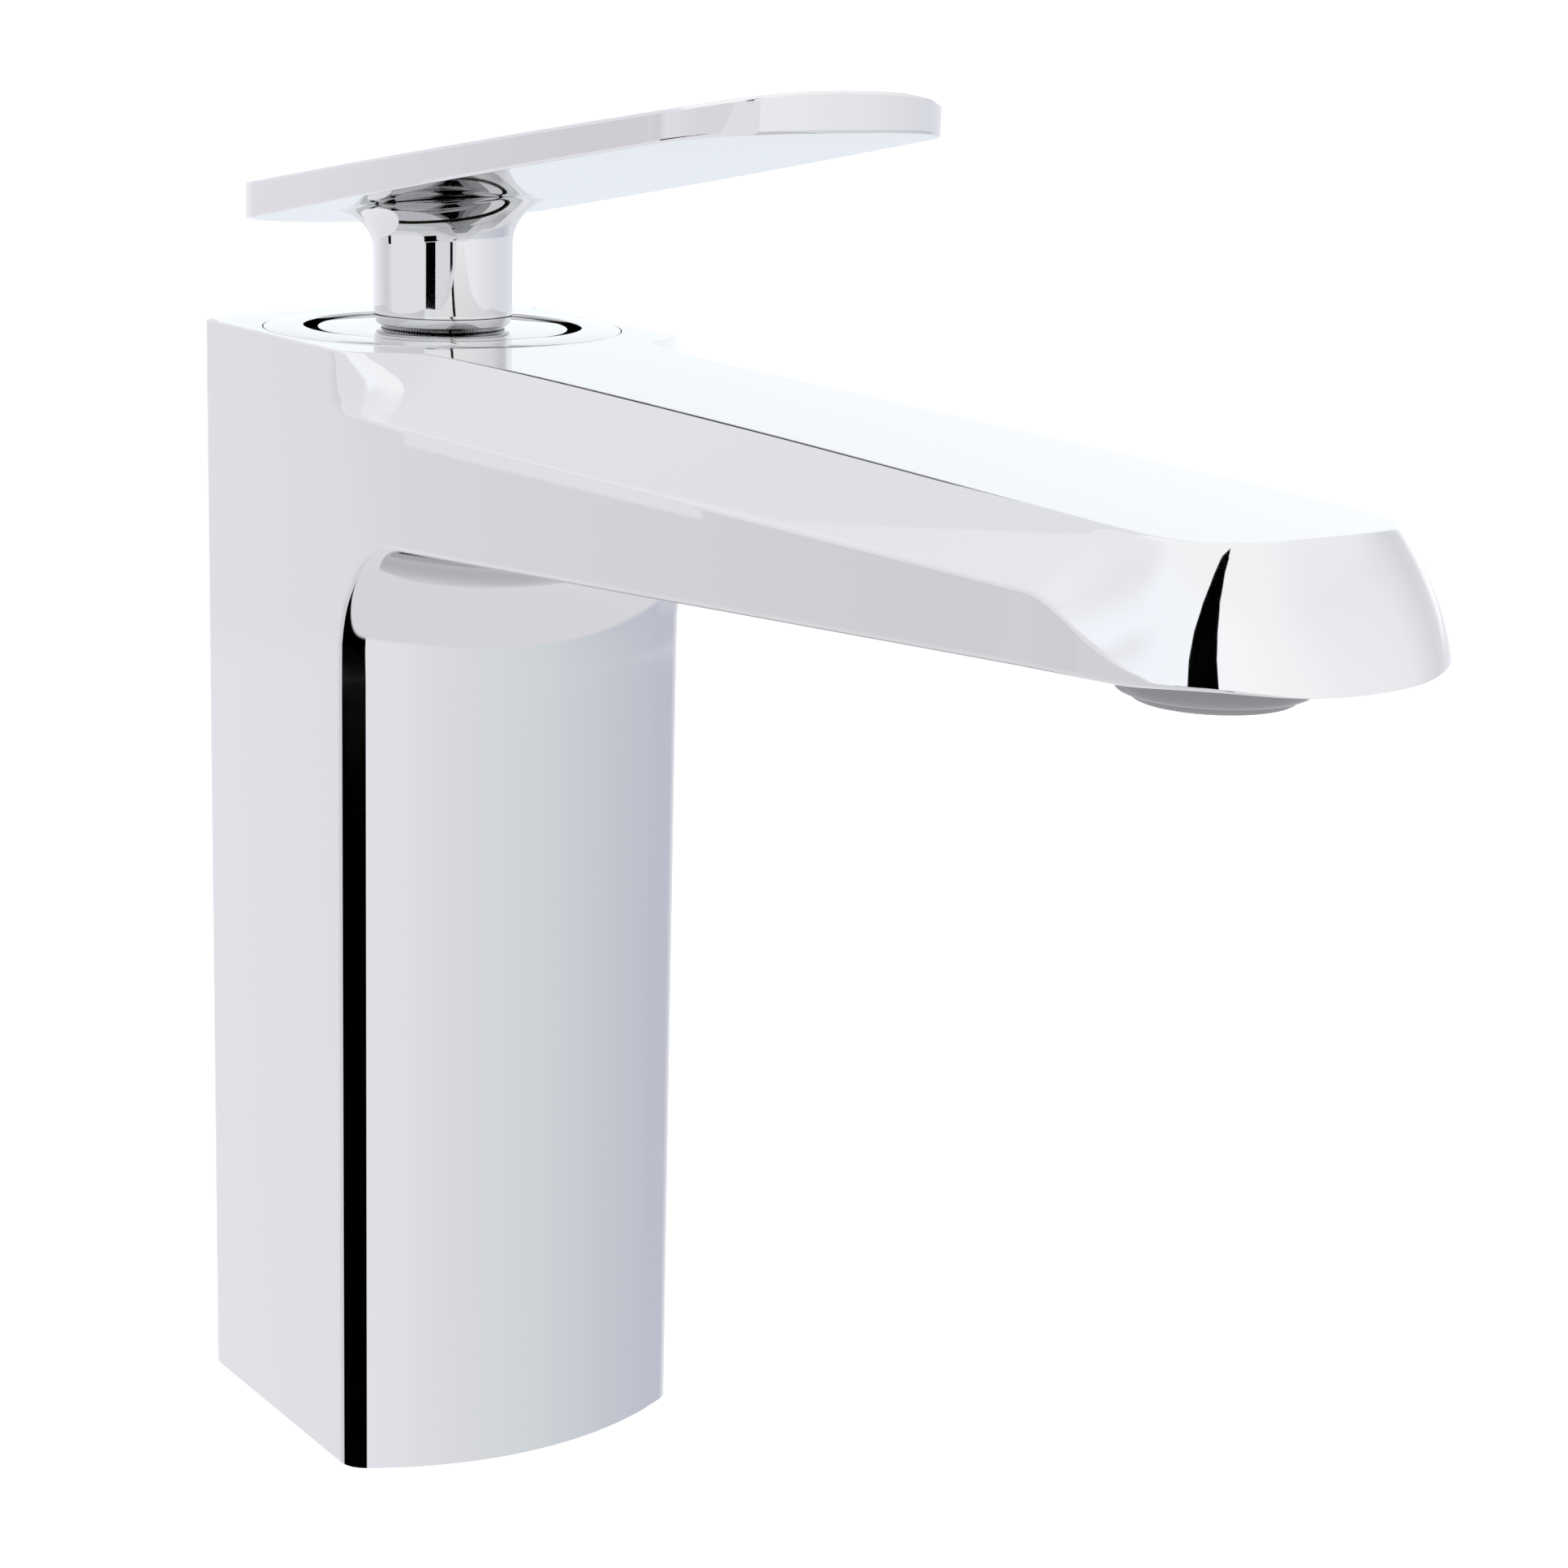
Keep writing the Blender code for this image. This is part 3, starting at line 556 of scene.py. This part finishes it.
def section(inner, corner, facet, outer, inner_reach, crease_reach, top_reach):
    """One closed loop of the skin, from its right half.

    inner and outer are the middle stretches from left to right; corner is the right half's lower corner, and
    facet runs from the crease on its flank to its upper corner.
    """
    crease, top = facet[0], facet[-1]
    half = softened(inner[-1], corner, crease, inner_reach, 7)
    half += softened(corner, crease, facet[1], crease_reach, 3)
    half += [Vector(p) for p in facet[1:-1]]
    half += softened(facet[-2], top, outer[-1], top_reach, 4)
    mirrored = [Vector((-p.x, p.y, p.z)) for p in reversed(half)]
    return [Vector(p) for p in inner] + half + [Vector(p) for p in reversed(outer)] + mirrored


def straight_facet(crease, top, steps=FACET_STEPS):
    crease, top = Vector(crease), Vector(top)
    return [crease.lerp(top, k / steps) for k in range(steps + 1)]


def facet_at(y):
    low, high = CREASE_HEIGHT, top_z(y)
    rises = [k / FACET_STEPS for k in range(FACET_STEPS + 1)]
    return [(facet_x(y, rise), y, blend_value(low, high, rise)) for rise in rises]


def middle_shares(count, limit):
    return [limit * (-1 + 2 * k / count) for k in range(count + 1)]


def column_back(z, inset, shares):
    scale = (HALF_WIDTH - inset) / HALF_WIDTH
    return [(HALF_WIDTH * scale * s, face_depth(s) - inset, z) for s in shares]


def column_side(low_y, low_z, z, inset):
    """The column's flank at one section: from its low point up to z, then back to the rear corner."""
    edge, back = HALF_WIDTH - inset, CORNER_DEPTH - inset
    near_y = back - MIDDLE_ROOM * BACK_REACH
    upright = (HALF_WIDTH, near_y, min(z, HEIGHT - TOP_ROUND))
    side = straight_facet((HALF_WIDTH, low_y, low_z), upright, FACET_STEPS - 2)
    return side + [Vector((edge, near_y, z)), Vector((edge, back, z))]


def column_sections(inner_shares, outer_shares):
    loops = []
    top = UNDERSIDE_START - UNDERSIDE_CROWN - FILLET
    for z in [0.0, BASE_EDGE] + [top * k / 4 for k in range(1, 5)]:
        inner = [(HALF_WIDTH * s, -face_depth(s), z) for s in inner_shares]
        corner = (HALF_WIDTH, -CORNER_DEPTH, z)
        side = column_side(FLANK_Y, z, z, 0.0)
        outer = column_back(z, 0, outer_shares)
        loops.append(section(inner, corner, side, outer, CORNER_REACH, 0, BACK_REACH))
    return loops


# Where the bend's sections cross the body's top, closer together where the facet rises out of the side
BEND_STATIONS = [y * MM for y in (15, 10, 5, 0, -5, -10, -13, -15.3, -16.3, -17.2, -18, -18.7, -19.3, -19.9)]
BEND_STATIONS += [y * MM for y in (-20.5, -21.1, -21.7, -22.3, -22.9, -23.5, -24.5, -26, -28, -30, -31.1)]

# The bend's sections that end on the column's back: height there, inset, y and z of the flank's low point
BACK_STATIONS = (
    (120 * MM, 0.0, 15.3 * MM, 107 * MM),
    (HEIGHT - TOP_ROUND, 0.0, 15.2 * MM, 114 * MM),
    (HEIGHT - 0.12 * MM, 0.12 * MM, 15.15 * MM, 120 * MM),
    (HEIGHT, TOP_ROUND, 15.1 * MM, 126 * MM),
)
END_ANGLE = math.pi / 2 - math.atan(UNDERSIDE_SLOPE)
FULL_SWEEP = FILLET * (1 - math.cos(END_ANGLE))


def fillet_point(share, angle):
    """A point of the fillet under the spout, from the column's front (0) to the underside (END_ANGLE)."""
    end_y = -face_depth(share) - FULL_SWEEP
    base = underside_z(share * side_x(end_y), end_y) - FILLET * math.sin(END_ANGLE)
    y = -face_depth(share) - FILLET * (1 - math.cos(angle))
    return share * side_x(y), y, base + FILLET * math.sin(angle)


def bend_sections(outer_shares):
    """From the column's front round its fillet to the spout's underside, and over the column's top."""
    loops = []
    steps = len(BACK_STATIONS) + len(BEND_STATIONS)
    for j in range(steps):
        share = (j + 1) / steps
        angle = END_ANGLE * share
        reach = blend_value(CORNER_REACH, LOWER_EDGE_REACH, share)
        limit = 1 - reach * MIDDLE_ROOM / HALF_WIDTH
        inner = [fillet_point(s, angle) for s in middle_shares(INNER_COUNT, limit)]
        corner = fillet_point(1, angle)
        if j < len(BACK_STATIONS):
            z, inset, low_y, low_z = BACK_STATIONS[j]
            side = column_side(low_y, low_z, z, inset)
            outer = column_back(z, inset, outer_shares)
            loops.append(section(inner, corner, side, outer, reach, 0, BACK_REACH))
            continue
        y = BEND_STATIONS[j - len(BACK_STATIONS)]
        edge = top_edge_x(y)
        bulge = FACE_BULGE * smoothstep((y - BACK_BULGE_END) / BACK_BULGE_RUN)
        outer = [(edge * s, y + bulge * (1 - s * s), top_z(y)) for s in outer_shares]
        crease_reach = CREASE_REACH * smoothstep((NOSE_Y - y) / NOSE_RUN)
        loops.append(section(inner, corner, facet_at(y), outer, reach, crease_reach, TOP_EDGE_REACH))
    return loops


def spout_underside_point(share, run):
    """A point of the spout's underside, from the fillet's end (run 0) to where the tip starts (run 1)."""
    y = blend_value(-face_depth(share) - FULL_SWEEP, TIP_START, run)
    x = share * side_x(y)
    return x, y, underside_z(x, y)


def spout_sections(spout_shares, outer_shares):
    loops = []
    start = -CORNER_DEPTH - FULL_SWEEP
    reaches = (LOWER_EDGE_REACH, CREASE_REACH, TOP_EDGE_REACH)
    for j in range(1, SPOUT_STEPS + 1):
        run = j / SPOUT_STEPS
        y = blend_value(start, TIP_START, run)
        edge = top_edge_x(y)
        inner = [spout_underside_point(s, run) for s in spout_shares]
        outer = [(edge * s, y, top_z(y)) for s in outer_shares]
        corner = spout_underside_point(1, run)
        loops.append(section(inner, corner, facet_at(y), outer, *reaches))
    return loops


def tip_facet(corner, top, drop):
    """The rounded end's face: its crease drops to the lower edge, and it bulges as it does."""
    crease = Vector((corner.x, corner.y, CREASE_HEIGHT)).lerp(corner.lerp(top, TIP_CREASE_RISE), drop)
    away = Vector((corner.x / TIP_HALF_WIDTH**2, (corner.y - TIP_START) / TIP_LENGTH**2, 0)).normalized()
    facet = straight_facet(crease, top)
    for point in facet[:-1]:
        rise = (point.z - corner.z) / (top.z - corner.z)
        point += away * TIP_BULGE * drop * 4 * rise * (1 - rise)
    return facet


def tip_sections(spout_shares, outer_shares):
    loops = []
    for j in range(1, TIP_STEPS + 1):
        angle = math.pi / 2 * j / TIP_STEPS
        low_x, low_y = rounded_end(TIP_HALF_WIDTH, TIP_LENGTH, TIP_POWER, angle)
        top_x, top_y = rounded_end(TOP_TIP_HALF_WIDTH, TOP_TIP_LENGTH, TOP_TIP_POWER, angle)
        if j == TIP_STEPS:
            low_x = top_x = 0.0
        inner = [(low_x * s, low_y, underside_z(low_x * s, low_y)) for s in spout_shares]
        outer = [(top_x * s, top_y, top_z(top_y)) for s in outer_shares]
        corner = Vector((low_x, low_y, underside_z(low_x, low_y)))
        top = Vector((top_x, top_y, top_z(top_y)))
        drop = smoothstep((low_y - CREASE_DROP_START) / (CREASE_DROP_END - CREASE_DROP_START))
        reaches = (blend_value(LOWER_EDGE_REACH, TIP_EDGE_REACH, drop), CREASE_REACH, TOP_EDGE_REACH)
        loops.append(section(inner, corner, tip_facet(corner, top, drop), outer, *reaches))
    return loops


def body_sections():
    plan_limit = 1 - CORNER_REACH * MIDDLE_ROOM / HALF_WIDTH
    outer_shares = middle_shares(OUTER_COUNT, plan_limit)
    spout_shares = middle_shares(INNER_COUNT, 1 - LOWER_EDGE_REACH * MIDDLE_ROOM / TIP_HALF_WIDTH)
    loops = column_sections(middle_shares(INNER_COUNT, plan_limit), outer_shares)
    loops += bend_sections(outer_shares)
    loops += spout_sections(spout_shares, outer_shares)
    return loops + tip_sections(spout_shares, outer_shares)


def make_body(finishes):
    mesh = lofted("body_skin", body_sections(), cap_last=False)
    body = add_piece("body_skin", mesh, finishes["chrome"], "body", "body_casting")
    above = HEIGHT + CUT_ROOM
    bore, centre = AERATOR_RADIUS + AERATOR_BORE_GAP, (0, AERATOR_Y)
    cutters = [
        cylinder_mesh("chamber", CHAMBER_RADIUS, CHAMBER_FLOOR, above, 127),
        cylinder_mesh("ring_seat", RING_SEAT_RADIUS, RING_SEAT_FLOOR, above, 159),
        cylinder_mesh("aerator_bore", bore, AERATOR_BORE_LOW, AERATOR_BORE_HIGH, 95, centre),
    ]
    for side in (-1, 1):
        inner, outer = sorted((side * WEB_HALF, side * POCKET_SIDE))
        low, high = (inner, -POCKET_DEPTH, -CUT_ROOM), (outer, POCKET_DEPTH, POCKET_TOP)
        cutters.append(block_mesh("pocket", low, high))
    cut(body, cutters)
    weigh_normals(body)
    flatten_sides(body)


# ---------------------------------------------------------------- ring, disc, lever, aerator


def make_ring(finishes):
    outer, low, high = RING_HIGH.x, RING_LOW.z, RING_HIGH.z
    corners = [(RING_INNER, high), (RING_INNER, low), (outer, low), (outer, high - 0.25 * MM)]
    profile = rounded_profile(corners, [0.15 * MM] * len(corners), 4)
    mesh = turned("trim_ring_skin", profile, 192)
    add_piece("trim_ring_skin", mesh, finishes["chrome"], "body", "trim_ring", 50)


def make_disc(finishes):
    radius, low, high = DISC_HIGH.x, DISC_LOW.z, DISC_HIGH.z
    corners = [(DISC_HOLE, high), (DISC_HOLE, low), (radius - DISC_TAPER, low)]
    corners += [(radius, high - DISC_EDGE), (radius, high)]
    profile = rounded_profile(corners, [0.12 * MM] * len(corners), 4)
    mesh = turned("cap_disc_skin", profile, 160)
    add_piece("cap_disc_skin", mesh, finishes["chrome"], "lever", "cap_disc", 50)


def blade_side(y):
    beyond = max(BLADE_NARROWING_START - y, 0.0)
    return BLADE_HALF_WIDTH - BLADE_NARROWING * (beyond / BLADE_NARROWING_RUN) ** 2


def blade_outline():
    """Right half of the blade's outline, from the middle of its back to the middle of its front."""
    points = []
    back_steps, side_steps, front_steps = 18, 40, 24
    corner_angle = math.acos(BLADE_HALF_WIDTH / BLADE_BACK_RADIUS)
    for k in range(back_steps + 1):
        angle = blend_value(math.pi / 2, corner_angle, k / back_steps)
        points.append((BLADE_BACK_RADIUS * math.cos(angle), BLADE_BACK_RADIUS * math.sin(angle)))
    start = points[-1][1]
    for k in range(1, side_steps + 1):
        y = blend_value(start, BLADE_CORNER_START, k / side_steps)
        points.append((blade_side(y), y))
    corner = blade_side(BLADE_CORNER_START)
    for k in range(1, front_steps + 1):
        angle = math.pi / 2 * k / front_steps
        x = corner * max(math.cos(angle), 0.0) ** (2 / BLADE_POWER)
        reached = math.sin(angle) ** (2 / BLADE_POWER)
        points.append((x, BLADE_CORNER_START + (BLADE_FRONT - BLADE_CORNER_START) * reached))
    points[-1] = (0.0, BLADE_FRONT)
    return points


def inset_outline(outline, inset):
    """The closed outline moved in by a distance along its own normals."""
    count = len(outline)
    moved = []
    for k in range(count):
        before, after = Vector(outline[k - 1]), Vector(outline[(k + 1) % count])
        along = (after - before).normalized()
        normal = Vector((-along.y, along.x))
        moved.append(Vector(outline[k]) + normal * inset)
    return moved


def blade_bottom_z(y):
    return BLADE_UNDERSIDE - BLADE_RISE * y


def blade_top_z(x, y):
    edge = blade_bottom_z(y) + BLADE_THICKNESS + BLADE_TAPER * y
    return edge + BLADE_CROWN * (1 - (x / blade_side(y)) ** 2)


def blade_mesh():
    half = blade_outline()
    outline = [Vector(p) for p in half] + [Vector((-x, y)) for x, y in reversed(half[1:-1])]
    area = sum(a.x * b.y - b.x * a.y for a, b in zip(outline, outline[1:] + outline[:1]))
    if area < 0:
        outline.reverse()
    edge = BLADE_EDGE
    rounding = ((edge, 0.0), (0.3 * edge, 0.1 * edge), (0.06 * edge, 0.4 * edge), (0, edge))
    loops = []
    for inset, lift in rounding:
        ring = inset_outline(outline, inset)
        loops.append([(p.x, p.y, blade_bottom_z(p.y) + lift) for p in ring])
    for inset, fall in reversed(rounding):
        ring = inset_outline(outline, inset)
        loops.append([(p.x, p.y, blade_top_z(p.x, p.y) - fall) for p in ring])
    rim = inset_outline(outline, edge)
    for share in (0.92, 0.8, 0.65, 0.5, 0.35, 0.2, 0.1, 0.0):
        loop = []
        for p in rim:
            on_spine = min(max(p.y, BLADE_CORNER_START), BLADE_SPINE_BACK)
            y = blend_value(on_spine, p.y, share)
            loop.append((p.x * share, y, blade_top_z(p.x * share, y)))
        loops.append(loop)
    return lofted("blade", loops, cap_last=False)


def stem_mesh():
    """The stem, from the disc up into the blade. Its rows are (radius, 1 if it follows the blade, height)."""
    segments, flare_steps = 128, 14
    floor = DISC_HIGH.z + 0.05 * MM
    core = STEM_RADIUS - STEM_INSET
    rows = [(0.0, 0.0, floor), (core, 0.0, floor), (core, 0.0, STEM_BOTTOM)]
    for inset, lift in ((STEM_LIP, 0.0), (0.3 * MM, 0.15 * MM), (0.0, 1.3 * MM)):
        rows.append((STEM_RADIUS - inset, 0.0, STEM_BOTTOM + lift))
    for k in range(flare_steps + 1):
        angle = STEM_FLARE_ANGLE * k / flare_steps
        radius = STEM_RADIUS + STEM_FLARE * (1 - math.cos(angle))
        rows.append((radius, 1.0, -STEM_FLARE * (math.sin(STEM_FLARE_ANGLE) - math.sin(angle)) + 0.02 * MM))
    rows.append((rows[-1][0], 1.0, 1 * MM))
    rows.append((0.0, 1.0, 1 * MM))
    loops = []
    for radius, on_blade, height in rows:
        loop = []
        for k in range(segments):
            angle = 2 * math.pi * k / segments
            x, y = radius * math.cos(angle), radius * math.sin(angle)
            loop.append((x, y, on_blade * blade_bottom_z(y) + height))
        loops.append(loop)
    return lofted("stem", loops, False, False)


def make_lever(finishes):
    lever = add_piece("lever_skin", blade_mesh(), finishes["chrome"], "lever", "lever_handle")
    stem = bpy.data.objects.new("stem", stem_mesh())
    bpy.context.scene.collection.objects.link(stem)
    stem.data.shade_smooth()
    step = lever.modifiers.new("stem", "BOOLEAN")
    step.operation = "UNION"
    step.solver = "EXACT"
    step.object = stem
    bake(lever, [stem])
    hole = cylinder_mesh("screw_hole", SCREW_RADIUS, 3 * MM, 10 * MM, 48)
    hole.transform(Matrix.Translation((0, 0, SCREW_HEIGHT)) @ Matrix.Rotation(-math.pi / 2, 4, "X"))
    low, high = (-SOCKET_HALF, -SOCKET_HALF, SOCKET_LOW), (SOCKET_HALF, SOCKET_HALF, SOCKET_HIGH)
    cut(lever, [block_mesh("socket", low, high), hole])
    weigh_normals(lever)


def make_aerator_rim(finishes):
    low, high = AERATOR_LOW.z, AERATOR_HIGH.z
    corners = [
        (RIM_LIP, low), (AERATOR_RADIUS, low), (AERATOR_RADIUS, high), (RIM_BORE, high),
        (RIM_BORE, low + RIM_LIP_HEIGHT), (RIM_LIP, low + RIM_LIP_HEIGHT),
    ]
    outer_reach, reach = 0.9 * MM, 0.12 * MM
    profile = rounded_profile(corners, [reach, outer_reach] + [reach] * 4, 6)
    mesh = turned("aerator_rim", profile, 128, (0, AERATOR_Y))
    add_piece("aerator_rim", mesh, finishes["grey_plastic"], "body", "aerator_housing", 40)


def make_aerator_cells(finishes):
    low, high = HONEYCOMB_LOW.z, HONEYCOMB_HIGH.z
    shelf = 121.8 * MM
    profile = [
        (0, low), (7.2 * MM, low + 0.05 * MM), (7.5 * MM, low + 0.2 * MM), (7.6 * MM, low + 0.5 * MM),
        (7.6 * MM, shelf), (8.0 * MM, shelf), (8.0 * MM, high), (0, high),
    ]
    mesh = turned("aerator_cells", profile, 96, (0, AERATOR_Y))
    finish = finishes["grey_plastic"]
    grid = add_piece("aerator_cells", mesh, finish, "body", "aerator_honeycomb")
    cell_profile = [(0, low - MM), (CELL_RADIUS, low - MM), (CELL_RADIUS, high + MM), (0, high + MM)]
    shape = bmesh.new()
    for row in range(-CELL_RINGS, CELL_RINGS + 1):
        count = 2 * CELL_RINGS + 1 - abs(row)
        for k in range(count):
            x = (k - (count - 1) / 2) * CELL_PITCH
            y = AERATOR_Y + row * CELL_PITCH * math.sqrt(3) / 2
            cell = turned("cell", cell_profile, 6)
            cell.transform(Matrix.Translation((x, y, 0)) @ Matrix.Rotation(math.pi / 6, 4, "Z"))
            shape.from_mesh(cell)
    cut(grid, [finish_mesh("cells", shape)])


# ---------------------------------------------------------------- carried-over nodes


def finish_frame_nodes(finishes):
    """Gives its slot's finish to each node that no piece replaces."""
    slots = {part["node"]: part["material_slot"] for part in frame["record"]["subparts"]}
    for name, node in frame["nodes"].items():
        if name in REPLACED_NODES:
            continue
        finish = finishes[slots[name]]
        if node.material_slots:
            for material_slot in node.material_slots:
                material_slot.material = finish
        else:
            node.data.materials.append(finish)


# ---------------------------------------------------------------- studio


def emissive(name, colour):
    made = bpy.data.materials.new(name)
    made.use_nodes = True
    tree = made.node_tree
    tree.nodes.clear()
    light = tree.nodes.new("ShaderNodeEmission")
    light.inputs["Color"].default_value = (*colour, 1)
    light.inputs["Strength"].default_value = 1.0
    out = tree.nodes.new("ShaderNodeOutputMaterial")
    tree.links.new(light.outputs["Emission"], out.inputs["Surface"])
    return made


def card(name, corners, finish):
    """A flat reflector that only mirrors see, its corners in millimetres."""
    mesh = bpy.data.meshes.new(name)
    mesh.from_pydata([Vector(c) * MM for c in corners], [], [tuple(range(len(corners)))])
    made = bpy.data.objects.new(name, mesh)
    bpy.context.scene.collection.objects.link(made)
    mesh.materials.append(finish)
    made.visible_camera = False
    made.visible_diffuse = False
    made.visible_shadow = False
    made.visible_transmission = False
    return made


def sweep(tree, direction, stops):
    """A colour that changes with the heading, by (degrees from -Y towards +X, colour)."""
    mapping = tree.nodes.new("ShaderNodeMapping")
    mapping.inputs["Rotation"].default_value = (0, 0, math.pi / 2)
    around = tree.nodes.new("ShaderNodeTexGradient")
    around.gradient_type = "RADIAL"
    ramp = tree.nodes.new("ShaderNodeValToRGB")
    tree.links.new(direction, mapping.inputs["Vector"])
    tree.links.new(mapping.outputs["Vector"], around.inputs["Vector"])
    tree.links.new(around.outputs["Fac"], ramp.inputs["Fac"])
    elements = ramp.color_ramp.elements
    for _ in range(len(stops) - len(elements)):
        elements.new(0.5)
    for element, (degrees, colour) in zip(elements, stops):
        element.position = 0.5 + degrees / 360
        element.color = (*colour, 1)
    return ramp.outputs["Color"]


def layer(tree, height, start, end, below, above):
    """One colour low down and another higher up, changing between two elevations in degrees."""
    share = tree.nodes.new("ShaderNodeMapRange")
    share.inputs["From Min"].default_value = math.sin(math.radians(start))
    share.inputs["From Max"].default_value = math.sin(math.radians(end))
    tree.links.new(height, share.inputs["Value"])
    made = tree.nodes.new("ShaderNodeMix")
    made.data_type = "RGBA"
    tree.links.new(share.outputs["Result"], made.inputs["Factor"])
    for value, socket in ((below, made.inputs["A"]), (above, made.inputs["B"])):
        if isinstance(value, tuple):
            socket.default_value = (*value, 1)
        else:
            tree.links.new(value, socket)
    return made.outputs["Result"]


def make_world():
    """A soft white room: bright above, its walls changing tone from one side of the mixer to the other."""
    world = bpy.data.worlds.new("studio")
    world.use_nodes = True
    tree = world.node_tree
    where = tree.nodes.new("ShaderNodeTexCoord")
    parts = tree.nodes.new("ShaderNodeSeparateXYZ")
    direction = where.outputs["Generated"]
    tree.links.new(direction, parts.inputs["Vector"])
    height = parts.outputs["Z"]
    room = BELOW
    for start, end, stops in ROOM_LAYERS:
        room = layer(tree, height, start, end, room, sweep(tree, direction, stops))
    room = layer(tree, height, ZENITH_START, ZENITH_END, room, ZENITH)
    tree.links.new(room, tree.nodes["Background"].inputs["Color"])
    bpy.context.scene.world = world


def seen_from(place, distance, heading, elevation):
    """The point at this distance from a place, in degrees from -Y towards +X and above level."""
    heading, elevation = math.radians(heading), math.radians(elevation)
    level = distance * math.cos(elevation)
    away = (level * math.sin(heading), -level * math.cos(heading), distance * math.sin(elevation))
    return tuple(p + q for p, q in zip(place, away))


def make_floor():
    """A wide pale floor that mirrors don't see."""
    mesh = bpy.data.meshes.new("floor")
    reach = 60.0
    corners = [(-reach, -reach, 0), (reach, -reach, 0), (reach, reach, 0), (-reach, reach, 0)]
    mesh.from_pydata(corners, [], [(0, 1, 2, 3)])
    floor = bpy.data.objects.new("floor", mesh)
    bpy.context.scene.collection.objects.link(floor)
    finish, _, shader = new_material("pale_floor", (0.86, 0.85, 0.85), 0.9, 0.0)
    shader.inputs["Specular IOR Level"].default_value = 0.0
    mesh.materials.append(finish)
    floor.visible_glossy = False


def make_cards():
    """The cards that give the lever's underside, the stem and the spout's tip their tones."""
    warm = emissive("warm_card", (1.22, 1.2, 1.27))
    dusk = emissive("dusk_card", (1.05, 1.03, 1.08))
    black = emissive("black_card", BLACK)
    base = 148.4
    corners = [(-26, -125), (-9.5, -125), (-9.5, 10), (-26, 10)]
    card("facet_bounce", [(x, y, base - BLADE_RISE * y) for x, y in corners], warm)
    card("stem_shade", [(-60, -40, 118.5), (-60, 30, 118.5), (-60, 30, 148), (-60, -40, 148)], warm)
    card("stem_flag", [(-375, -255, 70), (-290, -345, 70), (-290, -345, 122), (-375, -255, 122)], black)
    card("tip_fill", [(-78, -103, 80), (-64, -225, 80), (-64, -225, 120), (-78, -103, 120)], dusk)
    outline = [seen_from(TIP_FLAG_CENTRE, TIP_FLAG_DISTANCE, *aim) for aim in TIP_FLAG]
    card("tip_flag", outline, black)


def make_lamp():
    """A lamp overhead that lights the floor, and that mirrors don't see."""
    lamp = bpy.data.lights.new("floor_lamp", "AREA")
    lamp.shape = "DISK"
    lamp.size = 3
    lamp.energy = 45
    overhead = bpy.data.objects.new("floor_lamp", lamp)
    overhead.location = (0, 0, 2)
    overhead.visible_glossy = False
    bpy.context.scene.collection.objects.link(overhead)


def make_camera():
    scene = bpy.context.scene
    data = bpy.data.cameras.new("camera")
    camera = bpy.data.objects.new("camera", data)
    scene.collection.objects.link(camera)
    data.sensor_width = 36
    data.lens = 80.26
    data.shift_x = -0.0260
    data.shift_y = -0.0457
    data.clip_start = 0.01
    camera.location = (-0.20057, -0.38316, 0.18435)
    heading, pitch, roll = math.radians(34.03), math.radians(12.32), math.radians(1.547)
    camera.rotation_mode = "QUATERNION"
    level = math.cos(pitch)
    forward = Vector((math.sin(heading) * level, math.cos(heading) * level, -math.sin(pitch)))
    turn = forward.to_track_quat("-Z", "Y")
    camera.rotation_quaternion = turn @ Matrix.Rotation(roll, 4, "Z").to_quaternion()
    scene.camera = camera


make_camera()
bpy.context.scene.view_settings.view_transform = "Standard"
make_world()
make_floor()
make_cards()
make_lamp()
finishes = make_materials()
make_body(finishes)
make_ring(finishes)
make_disc(finishes)
make_lever(finishes)
make_aerator_rim(finishes)
make_aerator_cells(finishes)
finish_frame_nodes(finishes)
